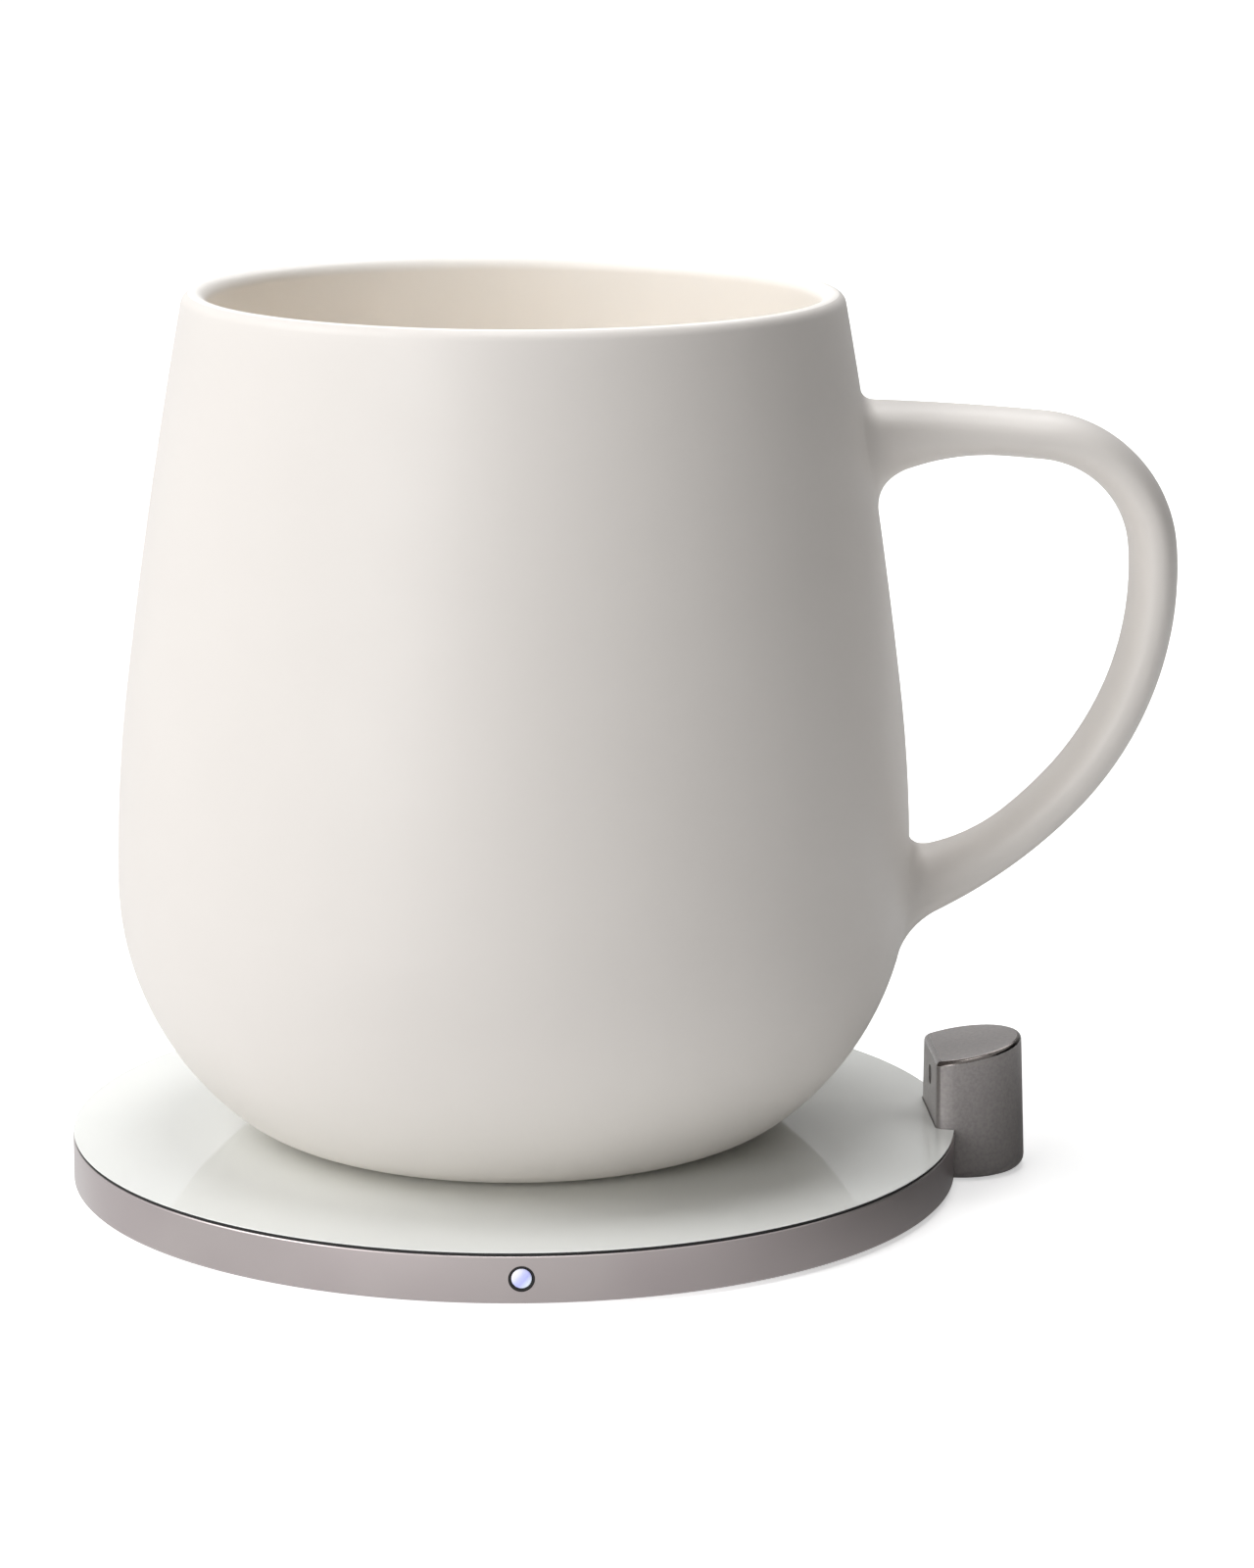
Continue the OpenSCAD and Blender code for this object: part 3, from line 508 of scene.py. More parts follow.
edgeX = footX + (mug["footCurve"] - mug["footEdge"]) * math.cos(footTurn)
edgeZ = mug["widest"] - (mug["footCurve"] - mug["footEdge"]) * math.sin(footTurn)
lipRadius = mug["wall"] / 2
rimTurn = math.asin((mug["rim"] - lipRadius - topZ) / (mug["topCurve"] - lipRadius))


def mugSide(inset, start):
    # from start degrees below the widest place up to the rim
    m, waist, rim = mug, math.degrees(waistTurn), math.degrees(rimTurn)
    return (arcPoints((footX, m["widest"]), m["footCurve"] - inset, -start, 0, m["bowlSteps"])[:-1]
            + arcPoints((waistX, m["widest"]), m["waistCurve"] - inset, 0, waist, m["waistSteps"])[:-1]
            + arcPoints((topX, topZ), m["topCurve"] - inset, waist, rim, m["topSteps"]))


def mugOutside():
    turn = mug["footTurn"]
    down = math.degrees(math.asin((edgeZ - mug["underside"]) / mug["footEdge"]))
    foot = arcPoints((edgeX, edgeZ), mug["footEdge"], -down, -turn, mug["footSteps"])
    return foot[:-1] + mugSide(0, turn)


def mugInside():
    # a wide rounding leads from the cup's floor into its wall
    wide, deep = mug["footCurve"] - mug["wall"], mug["widest"] - mug["floor"]
    r = mug["floorRound"]
    x = math.sqrt((wide - r) ** 2 - (deep - r) ** 2)
    turn = math.degrees(math.atan2(deep - r, x))
    rounding = arcPoints((footX + x, mug["floor"] + r), r, -90, -turn, mug["floorSteps"])
    return rounding[:-1] + mugSide(mug["wall"], turn)


def mugRadius(height):
    # of the outside
    if height < edgeZ - mug["footEdge"] * math.sin(footTurn):
        return edgeX + math.sqrt(mug["footEdge"] ** 2 - (edgeZ - height) ** 2)
    if height < mug["widest"]:
        return footX + math.sqrt(mug["footCurve"] ** 2 - (mug["widest"] - height) ** 2)
    if height < mug["widest"] + mug["waistHeight"]:
        return waistX + math.sqrt(mug["waistCurve"] ** 2 - (height - mug["widest"]) ** 2)
    return topX + math.sqrt(mug["topCurve"] ** 2 - (height - topZ) ** 2)


def makeMugBody():
    edge, under = mug["softEdge"], mug["underside"]
    inner, outer = mug["ringRadii"]
    outside = mugOutside()
    bottom = softened([
        (0, mug["recessTop"], 0), (mug["recessRadius"], mug["recessTop"], edge),
        (mug["recessRadius"], under, edge), (inner, under, edge), (inner, mug["ringTop"], edge / 2),
        (outer, mug["ringTop"], edge / 2), (outer, under, edge / 2), outside[0] + (0,)])
    lipX = topX + (mug["topCurve"] - lipRadius) * math.cos(rimTurn)
    lipZ = topZ + (mug["topCurve"] - lipRadius) * math.sin(rimTurn)
    rim = math.degrees(rimTurn)
    lip = arcPoints((lipX, lipZ), lipRadius, rim, rim + 180, mug["lipSteps"])[1:-1]
    outline = bottom[:-1] + outside + lip + mugInside()[::-1] + [(0, mug["floor"])]
    body = turned("mugBody", outline, glaze, mug["stepsRound"])
    # painted light: the cup's inside, from the top of the lip down to its floor, and faces turned up have a
    # lighter copy of the glaze that stands in for the light falling there
    level, slack = 0.9, 0.1
    for face in body.data.polygons:
        x, y, z = face.center / mm
        paintedLightFace = face.normal.x * x + face.normal.y * y < 0 or face.normal.z > level
        face.material_index = 1 if paintedLightFace and z > mug["floor"] - slack else 0
    return body


placed(makeMugBody(), [glaze, paintedLightGlaze], "mug", "mug_ceramic", "mug_body")
print("mug: body turned")

handle = {
    "root": (36.0, 85.6),    # hidden end of the upper arm
    "rootFaces": 89.0,       # degrees that its outer side points up
    "arcs": ((290.0, 4.5), (13.8, 79.5), (36.0, 48.5), (52.0, 27.0)),  # radius and turn of each bend
    "thickness": 5.26,
    "width": 10.5,
    "corner": 0.9,           # 1 is an ellipse, less is squarer
    "swellLength": 18.5,
    "swellUpper": 6.4,
    "swellLower": 4.9,
    "swellFlank": 0.9,
    "upperFillets": (1.6, 3.4),   # on the outer side and on the side of the fingers
    "lowerFillets": (4.6, 2.6),
    "pointsRound": 56,
    "rings": 120,
    "filletRings": 10,
    "filletSunk": 0.02,      # where a fillet meets the wall
    "sunk": 0.8,             # its ends, inside the wall
    "halvings": 40,          # of the search for the wall
    "crease": 80,
}


def handlePlace(s):
    # point on the middle line at length s, and the direction of its outer side in radians
    x, z = handle["root"]
    a = math.radians(handle["rootFaces"])
    for radius, turn in handle["arcs"]:
        part = min(max(s, 0), radius * math.radians(turn)) / radius
        x += radius * (math.cos(a - part) - math.cos(a))
        z += radius * (math.sin(a - part) - math.sin(a))
        a -= part
        s -= radius * math.radians(turn)
    return Vector((x, 0, z)), a


def wallGap(point):
    return math.hypot(point.x, point.y) - mugRadius(point.z)


def crossing(pointAt, inside, outside):
    # length at which a line along the handle passes the mug's wall
    for _ in range(handle["halvings"]):
        middle = (inside + outside) / 2
        if wallGap(pointAt(middle)) > 0:
            outside = middle
        else:
            inside = middle
    return outside


def makeHandle():
    h = handle
    total = sum(radius * math.radians(turn) for radius, turn in h["arcs"])
    ends = [handlePlace(0)[0], handlePlace(total)[0]]
    halfway = total / 2

    def sectionPoint(s, t):
        middle, a = handlePlace(s)
        upper, lower = (max(0, 1 - (middle - end).length / h["swellLength"]) ** 2 for end in ends)
        c, d = math.cos(t), math.sin(t)
        inside = 0 if c > 0 else upper * h["swellUpper"] + lower * h["swellLower"]
        u = math.copysign(abs(c) ** h["corner"], c) * (h["thickness"] / 2 + inside)
        v = math.copysign(abs(d) ** h["corner"], d) * (h["width"] / 2 + (upper + lower) * h["swellFlank"])
        return middle + Vector((math.cos(a) * u, v, math.sin(a) * u))

    def normalAt(s, t):
        a = handlePlace(s)[1]
        c, d = math.cos(t), math.sin(t)
        power = 2 - h["corner"]
        across = math.copysign(abs(c) ** power, c) / h["thickness"]
        along = math.copysign(abs(d) ** power, d) / h["width"]
        return Vector((math.cos(a) * across, along, math.sin(a) * across)).normalized()

    def onWall(point, depth):
        flat = Vector((point.x, point.y, 0)).normalized() * (mugRadius(point.z) - depth)
        return Vector((flat.x, flat.y, point.z))

    turns = [math.tau * k / h["pointsRound"] for k in range(h["pointsRound"])]
    joints = []
    for side, hidden, fillets in ((1, 0, h["upperFillets"]), (-1, total, h["lowerFillets"])):
        found = []
        for t in turns:
            hit = crossing(lambda s: sectionPoint(s, t), hidden, halfway)
            share = (1 + math.cos(t)) / 2
            fillet = fillets[1] + (fillets[0] - fillets[1]) * share
            corner = sectionPoint(hit, t)
            facing = Vector((corner.x, corner.y, 0)).normalized()
            away = normalAt(hit, t)
            away = (away - facing * away.dot(facing)).normalized()
            foot = onWall(corner + away * fillet, h["filletSunk"])
            found.append((hit + side * fillet, corner, foot, onWall(foot, h["sunk"])))
        joints.append(found)

    def filletRings(found):
        rings = [[f[3] for f in found]]
        for i in range(h["filletRings"]):
            u = i / h["filletRings"]
            ring = []
            for (start, corner, foot, _), t in zip(found, turns):
                top = sectionPoint(start, t)
                ring.append(foot * (1 - u) ** 2 + corner * 2 * u * (1 - u) + top * u ** 2)
            rings.append(ring)
        return rings

    rings = filletRings(joints[0])
    for i in range(h["rings"] + 1):
        share = i / h["rings"]
        rings.append([sectionPoint(a[0] + (b[0] - a[0]) * share, t)
                      for a, b, t in zip(joints[0], joints[1], turns)])
    rings += filletRings(joints[1])[::-1]
    mesh = skinned("mugHandle", rings)
    shadeSmooth(mesh, h["crease"])
    return loose("mugHandle", mesh)


placed(makeHandle(), [glaze], "mug", "mug_ceramic", "mug_handle")
print("mug: handle swept")


footRing = {
    "edge": 0.2,
    "start": 0.1,            # the outline starts on the flat top, this far from the inner edge
    "stepsRound": 160,
}
cover = {
    "groove": (13.6, 14.0, 14.4),   # radii of the ring groove's edges and middle
    "grooveDepth": 0.15,
    "grooveEdge": 0.1,
    "channel": 0.8,          # depth of the seal's channel in its side
    "lip": 0.5,              # height of the lip on either side of the channel
    "lipEdge": 0.05,
    "lowEdge": 0.2,
    "highEdge": 0.1,
    "stepsRound": 160,
}


def makeMugFoot():
    inner, outer = mug["ringRadii"]
    low, high, edge = lowOf("mug_foot").z, highOf("mug_foot").z, footRing["edge"]
    start = (inner + footRing["start"], high, 0)
    return turned("mugFootRing", softened([
        start, (inner, high, edge), (inner, low, edge), (outer, low, edge), (outer, high, edge),
        start]), footSilicone, footRing["stepsRound"])


def makeBaseCover():
    c, low, high, radius = cover, lowOf("base_cover").z, highOf("base_cover").z, highOf("base_cover").x
    inner, middle, outer = c["groove"]
    seal, lip, edge = radius - c["channel"], c["lip"], c["lipEdge"]
    return turned("baseCover", softened([
        (0, low, 0), (inner, low, 0), (middle, low + c["grooveDepth"], c["grooveEdge"]), (outer, low, 0),
        (radius, low, c["lowEdge"]), (radius, low + lip, edge), (seal, low + lip, 0),
        (seal, high - lip, 0), (radius, high - lip, edge), (radius, high, c["highEdge"]),
        (0, high, 0)]), coverPlastic, c["stepsRound"])


placed(makeMugFoot(), [footSilicone], "mug", "foot_silicone", "mug_foot")
placed(makeBaseCover(), [coverPlastic], "mug", "cover_plastic", "base_cover")
print("mug: underside made")


# sensor tower: x runs outwards and y across, turned by its angle about the pad's middle

tower = {
    "angle": 1.5,
    "flat": 47.45,           # the flat face, from the pad's middle
    "middle": 50.8,          # middle of the round back
    "footRadius": 7.6,
    "topRadius": 6.8,
    "topHeight": 18.6,       # where the round back has that radius
    "foot": lowOf("tower_shell").z,
    "faceTop": 13.6,
    "slope": 10.0,
    "corner": 0.8,
    "leastCorner": 0.1,      # what is left of it on a smaller outline
    "topEdge": 0.6,
    "topBand": 0.15,         # flat band inside the top's edge, which keeps the shading level
    "footEdge": 1.25,
    "wall": 1.4,
    "roomFoot": -1.0,        # its inside is open below
    "seam": 0.3,             # gap between rim and post
    "notch": 0.1,            # gap between glass and post
    "cutFoot": -2.0,         # where the cuts for both gaps begin
    "passage": (2.4, 4.0, 4.0),     # opening at its foot: depth, half width and height
    "windowRadius": 1.15,
    "windowMiddle": 10.5,
    "windowDepth": 0.3,
    "windowGap": 0.01,
    "windowSteps": 48,
    "holeDepth": 2.0,
    "cutReach": 1.0,         # how far its cuts begin outside the face
    "screws": (53.6, 3.2),   # outwards and across
}
# steps round its back, at each corner, along its face, up its foot's edge and over its top edge
towerGrid = {"back": 60, "corner": 10, "face": 12, "foot": 6, "edge": 8}
towerTurn = Matrix.Rotation(math.radians(tower["angle"]), 4, "Z")


def dOutline(radius, flat, corner):
    middle, steps = tower["middle"], towerGrid
    x = flat + corner
    y = math.sqrt((radius - corner) ** 2 - (x - middle) ** 2)
    turn = math.degrees(math.atan2(y, x - middle))
    face = [(flat, y - 2 * y * i / steps["face"]) for i in range(1, steps["face"])]
    return (arcPoints((middle, 0), radius, -turn, turn, steps["back"])
            + arcPoints((x, y), corner, turn, 180, steps["corner"])[1:]
            + face
            + arcPoints((x, -y), corner, 180, 360 - turn, steps["corner"])[:-1])


def towerRadius(height):
    share = (height - tower["foot"]) / (tower["topHeight"] - tower["foot"])
    return tower["footRadius"] + (tower["topRadius"] - tower["footRadius"]) * share


def towerTop(x):
    return tower["faceTop"] + (x - tower["flat"]) * math.tan(math.radians(tower["slope"]))


def towerRings(grow, lowest, footEdge, topEdge):
    flat, corner = tower["flat"] - grow, max(tower["corner"] + grow, tower["leastCorner"])
    rings = []

    def addTopRing(back, down):
        ring = dOutline(towerRadius(tower["faceTop"]) + grow - back, flat + back, corner - back / 2)
        rings.append([(x, y, towerTop(x) - down) for x, y in ring])

    for i in range(towerGrid["foot"] + 1):
        a = math.pi / 2 * i / towerGrid["foot"]
        z = lowest + footEdge * (1 - math.cos(a))
        back = footEdge * (1 - math.sin(a))
        rings.append([(x, y, z) for x, y in dOutline(towerRadius(z) + grow - back, flat, corner)])
    for i in range(towerGrid["edge"] + 1):
        a = math.pi / 2 * i / towerGrid["edge"]
        addTopRing(topEdge * (1 - math.cos(a)), topEdge * (1 - math.sin(a)) - grow)
    if topEdge:
        addTopRing(topEdge + tower["topBand"], -grow)
    return rings


def onTowerEdge(ring, point):
    # the cut and polished edge: round the top and down the upright corner at +Y, where a darker finish is a
    # painted reflection of dark surroundings
    grid = towerGrid
    onTop = grid["foot"] + 2 <= ring < grid["foot"] + grid["edge"]
    return onTop or (ring >= grid["foot"] - 2 and 0 < point - grid["back"] < grid["corner"] - 1)


def towerMesh(name, grow, lowest, footEdge=0.0, topEdge=0.0):
    # grow sets its sides outwards; without an edge its rings there are left out
    rings = towerRings(grow, lowest, footEdge, topEdge)
    if footEdge == 0:
        rings = rings[towerGrid["foot"]:]
    if topEdge == 0:
        rings = rings[:-towerGrid["edge"]]
    return turnedMesh(skinned(name, rings, onTowerEdge if topEdge else None))


def turnedMesh(mesh):
    mesh.transform(towerTurn)
    return mesh


def windowMesh(name, x0, x1, shrink):
    radius = tower["windowRadius"] - shrink
    outline = arcPoints((0, tower["windowMiddle"]), radius, 0, 360, tower["windowSteps"])[:-1]
    return turnedMesh(skinned(name, [[(x, y, z) for y, z in outline] for x in (x0, x1)]))


def makeTower():
    t = tower
    piece = loose("sensorTower", towerMesh("sensorTower", 0, t["foot"], t["footEdge"], t["topEdge"]))
    carve(piece, towerMesh("towerRoom", -t["wall"], t["roomFoot"]))
    start = t["flat"] - t["cutReach"]
    carve(piece, windowMesh("towerHole", start, t["flat"] + t["holeDepth"], 0))
    depth, half, high = t["passage"]
    passage = blockOf("passage", (start, -half, t["roomFoot"]), (t["flat"] + depth, half, high))
    return carve(piece, turnedMesh(passage))


def makeWindow():
    t = tower
    front, back = t["flat"] + t["windowDepth"], t["flat"] + t["wall"]
    return loose("towerWindow", windowMesh("towerWindow", front, back, t["windowGap"]))


placed(makeTower(), [towerPaint, paintedReflectionEdge], "pad", "tower_paint", "tower_shell")
placed(makeWindow(), [windowDark], "pad", "window_dark", "sensor_window")
print("tower: made")


# pad

pad = {
    "radius": 49.985,
    "foot": lowOf("pad_housing").z,
    "rimTop": highOf("pad_housing").z - 0.04,
    "innerRadius": 48.2,
    "seatRadius": 49.6,
    "ledgeRadius": 46.5,
    "ledgeTop": 4.75,
    "ledgeBottom": 4.0,
    "bevel": 0.1,
    "footBevel": 0.26,
    "softEdge": 0.07,
    "topSoftEdge": 0.03,
    "stepsRound": 320,
    "glassRadius": 49.3,
    "glassTop": highOf("glass_top").z,
    "glassBottom": lowOf("glass_top").z,
    "glassLip": 49.92,       # the glass's upper edge reaches out over the gasket
    "glassLow": 0.04,        # roundings of the glass at its bottom, under its lip and at its top
    "glassUnder": 0.02,
    "glassEdge": 0.06,
    "glassBand": 0.4,        # flat band inside its top edge, which keeps the shading level
    "gasketTop": highOf("glass_gasket").z + 0.17,
    "gasketBand": 49.78,     # the black line between glass and rim
    "gasketWay": 0.3,        # from the ledge's inner edge to the gasket's
    "buttonHeight": 3.15,
    "buttonHole": 1.4,       # radius
    "buttonHoleAt": 2.0,     # a place inside the rim's outside, and how far the cut goes in and out
    "buttonHoleReach": (-3, 4),
    "socketHeight": 2.95,
    "socketHole": (9.02, 3.24),         # width and height
    "socketHoleReach": (8, 2),          # in and out from the rim's outside
}
mat = {
    "radius": highOf("rubber_mat").x,
    "top": highOf("rubber_mat").z,
    "foot": 0.002,
    "edge": 0.3,
    "grooves": 11,
    "firstGroove": 4,
    "grooveStep": 3.8,
    "grooveWidth": 1,
    "grooveSlope": 0.25,
    "grooveTop": 0.25,
    "grooveEdge": 0.08,
    "stepsRound": 192,
}


def facingFront(piece, y):
    # a piece turned about Z comes to face -Y, its height 0 at y
    piece.data.transform(Matrix.Translation(Vector((0, y, pad["buttonHeight"])) * mm)
                         @ Matrix.Rotation(math.pi / 2, 4, "X"))
    return piece


def barMesh(name, width, height, y0, y1, z):
    # bar along Y with round sides
    half, steps = (width - height) / 2, 16
    outline = (arcPoints((half, 0), height / 2, -90, 90, steps)
               + arcPoints((-half, 0), height / 2, 90, 270, steps))
    return skinned(name, [[(x, y, z + up) for x, up in outline] for y in (y0, y1)])


def makeRim():
    p = pad
    edge, fine, bevel, foot, r = p["softEdge"], p["topSoftEdge"], p["bevel"], p["footBevel"], p["radius"]
    start = (p["innerRadius"], p["foot"] + 1, 0)     # on its straight inside, off the corners
    rim = turned("padRim", softened([
        start, (p["innerRadius"], p["foot"], edge), (r - foot, p["foot"], edge),
        (r, p["foot"] + foot, edge), (r, p["rimTop"] - bevel, fine), (r - bevel, p["rimTop"], fine),
        (p["seatRadius"], p["rimTop"], fine), (p["seatRadius"], p["ledgeTop"], 0),
        (p["ledgeRadius"], p["ledgeTop"], edge), (p["ledgeRadius"], p["ledgeBottom"], edge),
        (p["innerRadius"], p["ledgeBottom"], 0), start]), anodised, p["stepsRound"])
    carve(rim, towerMesh("towerSlot", tower["seam"], tower["cutFoot"]))
    radius, (low, high) = p["buttonHole"], p["buttonHoleReach"]
    hole = turned("buttonHole", [(0, low), (radius, low), (radius, high), (0, high)], anodised, steps=64)
    carve(rim, facingFront(hole, p["buttonHoleAt"] - r).data.copy())
    bpy.data.objects.remove(hole)
    inwards, outwards = p["socketHoleReach"]
    return carve(rim, barMesh("socketHole", *p["socketHole"], r - inwards, r + outwards, p["socketHeight"]))


def makeGlass():
    p = pad
    low, top, radius, lip = p["glassBottom"], p["glassTop"], p["glassRadius"], p["glassLip"]
    glass = turned("glassTop", softened([
        (0, low, 0), (radius, low, p["glassLow"]), (radius, p["gasketTop"], 0),
        (lip, p["gasketTop"], p["glassUnder"]), (lip, top, p["glassEdge"]),
        (lip - p["glassBand"], top, 0), (0, top, 0)]), whiteGlass, p["stepsRound"])
    return carve(glass, towerMesh("towerNotch", tower["notch"], tower["cutFoot"]))


def makeGasket():
    # it steps out over the rim's top, where it shows as a black line
    p = pad
    inner = p["ledgeRadius"] + p["gasketWay"]
    gasket = turned("glassGasket", softened([
        (inner, p["ledgeTop"], 0), (p["seatRadius"], p["ledgeTop"], 0), (p["seatRadius"], p["rimTop"], 0),
        (p["gasketBand"], p["rimTop"], 0), (p["gasketBand"], p["gasketTop"], 0),
        (p["glassRadius"], p["gasketTop"], 0), (p["glassRadius"], p["glassBottom"], 0),
        (inner, p["glassBottom"], 0), (inner, p["ledgeTop"], 0)]), gasketBlack, p["stepsRound"])
    return carve(gasket, towerMesh("towerNotch", tower["notch"], tower["cutFoot"]))


def makeMat():
    # shallow grooves in rings across the underside
    m, low, top, edge = mat, mat["foot"], mat["grooveTop"], mat["grooveEdge"]
    slope, width = m["grooveSlope"], m["grooveWidth"]
    outline = [(0, low, 0)]
    for i in range(m["grooves"]):
        r = m["firstGroove"] + m["grooveStep"] * i
        outline += [(r, low, edge), (r + slope, top, edge), (r + width - slope, top, edge),
                    (r + width, low, edge)]
    outline += [(m["radius"], low, m["edge"]), (m["radius"], m["top"], 0), (0, m["top"], 0)]
    return turned("rubberMat", softened(outline, steps=2), matRubber, m["stepsRound"])


placed(makeRim(), [anodised], "pad", "rim_metal", "pad_housing")
placed(makeGlass(), [whiteGlass], "pad", "glass_white", "glass_top")
placed(makeGasket(), [gasketBlack], "pad", "gasket_black", "glass_gasket")
placed(makeMat(), [matRubber], "pad", "mat_rubber", "rubber_mat")
print("pad: rim, glass, gasket and mat made")


# button

button = {
    "radius": highOf("button_cap").z - pad["buttonHeight"],
    "faceBack": 0.01,        # how far its middle lies behind the solid's
    "edge": 0.3,
    "edgeBack": 0.38,        # the middle of that rounding, from the face
    "edgeTurn": 78,          # degrees where the dome runs into it
    "edgeSteps": 8,
    "wings": (3.2, 0.5, 0.75),      # half length, thickness and half height
    "edgeShade": 0.08,            # painted shade: black along the rounded edge, widening the dark ring round the lens
    "ringWidth": 0.25,
    "ringEdge": 0.06,
    "ringStart": 0.3,        # the ring's outline starts on its inner side, this far from the back
    "stepsRound": 96,
}


def makeButton():
    # a shallow dome on a short shaft, with wings that hold it in
    b, r, height = button, button["radius"], pad["buttonHeight"]
    face = -lowOf("button_cap").y - b["faceBack"]
    back = -highOf("button_cap").y
    middle = (r - b["edge"], face - b["edgeBack"])
    edge = arcPoints(middle, b["edge"], 0, b["edgeTurn"], b["edgeSteps"])
    lens = turned("litButton", [(0, back), (r, back)] + edge + [(0, face)], litLens, b["stepsRound"])
    facingFront(lens, 0)
    length, thickness, high = b["wings"]
    wings = blockOf("buttonWings", (-length, -back - thickness, -high), (length, -back, high))
    wings.transform(Matrix.Translation((0, 0, height * mm)))
    combine(lens, wings, "UNION")
    # painted shade: faces near the lens's rounded edge take the black seal finish
    for part in lens.data.polygons:
        x, _, z = part.center / mm
        part.material_index = 1 if math.hypot(x, z - height) > r - b["edgeShade"] else 0
    return lens


def makeButtonRing():
    b, face, back = button, -lowOf("button_seal").y, -highOf("button_seal").y
    outer = highOf("button_seal").z - pad["buttonHeight"]
    inner = outer - b["ringWidth"]
    start = (inner, back + b["ringStart"], 0)
    ring = turned("buttonRing", softened([
        start, (inner, face, b["ringEdge"]), (outer, face, b["ringEdge"]), (outer, back, 0),
        (inner, back, 0), start]), sealBlack, b["stepsRound"])
    return facingFront(ring, 0)


placed(makeButton(), [litLens, sealBlack], "button", "button_frost", "button_cap")
placed(makeButtonRing(), [sealBlack], "pad", "seal_black", "button_seal")
print("button: made")


# fasteners and socket contacts, copied by the tree

screw = {
    "faceRadius": 1.2,       # flat face, then a bevel down to the head's side
    "faceEdge": 0.12,
    "bevel": 0.22,
    "bevelEdge": 0.1,
    "headRadius": 1.5,
    "headHeight": 0.6,
    "shankRadius": 0.8,
    "length": 2.6,
    "cross": (0.75, 0.14, 0.35),    # half length, half width and depth of the cross
    "stepsRound": 48,
}
contact = {
    "width": 0.25,
    "length": 4.0,
    "thickness": 0.06,
    "first": -2.75,
    "step": 0.5,
    "count": 12,             # on each face of the tongue
    "inwards": 4.3,          # its hidden end, from the tongue's mouth
    "tongue": 0.35,          # half the tongue's thickness
}


def makeScrew():
    s = screw
    head, shank, high = s["headRadius"], s["shankRadius"], s["headHeight"]
    made = turned("screw", softened([
        (0, 0, 0), (s["faceRadius"], 0, s["faceEdge"]), (head, s["bevel"], s["bevelEdge"]), (head, high, 0),
        (shank, high, 0), (shank, s["length"], 0), (0, s["length"], 0)]), screwSteel, s["stepsRound"])
    long, narrow, deep = s["cross"]
    for x, y in ((long, narrow), (narrow, long)):
        carve(made, blockOf("cross", (-x, -y, -1), (x, y, deep)))
    return made


def makeBaseScrews():
    # one at each corner of the solids' box
    low, high = lowOf("base_screws"), highOf("base_screws")
    middle, r = (low + high) / 2, screw["headRadius"]
    across, along = (high.x - low.x) / 2 - r, (high.y - low.y) / 2 - r
    points = [(middle.x + i * across, middle.y + k * along, low.z) for i in (-1, 1) for k in (-1, 1)]
    return copiesOf("baseScrews", makeScrew(), points, screwSteel, math.tau)


def makeTowerScrews():
    out, across = tower["screws"]
    places = [towerTurn @ Vector((out, side * across, 0)) for side in (-1, 1)]
    points = [(place.x, place.y, lowOf("tower_screws").z) for place in places]
    return copiesOf("towerScrews", makeScrew(), points, screwSteel, math.tau)


def makeContacts():
    c = contact
    x, z = c["width"] / 2, c["thickness"] / 2
    strip = loose("strip", blockOf("strip", (-x, 0, -z), (x, c["length"], z)))
    y = highOf("socket_tongue").y - c["inwards"]
    points = [(c["first"] + c["step"] * i, y, pad["socketHeight"] + side * c["tongue"])
              for i in range(c["count"]) for side in (-1, 1)]
    return copiesOf("socketContacts", strip, points, contactGold)


placed(makeBaseScrews(), [screwSteel], "pad", "screw_steel", "base_screws")
placed(makeTowerScrews(), [screwSteel], "pad", "screw_steel", "tower_screws")
placed(makeContacts(), [contactGold], "pad", "socket_shell")
print("fasteners: made")


# what stays as the CAD has it gets its finish

keptFinishes = {
    "base_plate": basePlastic, "control_board": circuitBoard, "tower_board": circuitBoard,
    "controller_chip": chipBlack, "power_transistors": chipBlack, "resonant_capacitors": capacitorTan,
    "coil_carrier": carrierFilm, "ferrite_shield": ferriteGrey, "receiver_ferrite": ferriteGrey,
    "transmitter_coil": copperWire, "receiver_coil": copperWire, "thermal_pad": padGel,
    "pad_thermistor": chipBlack, "status_leds": footSilicone, "button_switch": chipBlack,
    "switch_plunger": coverPlastic, "power_socket": socketSteel, "socket_tongue": chipBlack,
    "infrared_sensor": sensorSteel, "board_ribbon": ribbonAmber, "cover_seal": footSilicone,
    "insulation_disc": insulationFelt, "heating_disc": heaterFilm, "thermal_cutout": cutoutMetal,
}
for node, finish in keptFinishes.items():
    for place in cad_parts[node].material_slots:
        place.material = finish
print("kept nodes: finished", len(keptFinishes))


# floor, light and camera

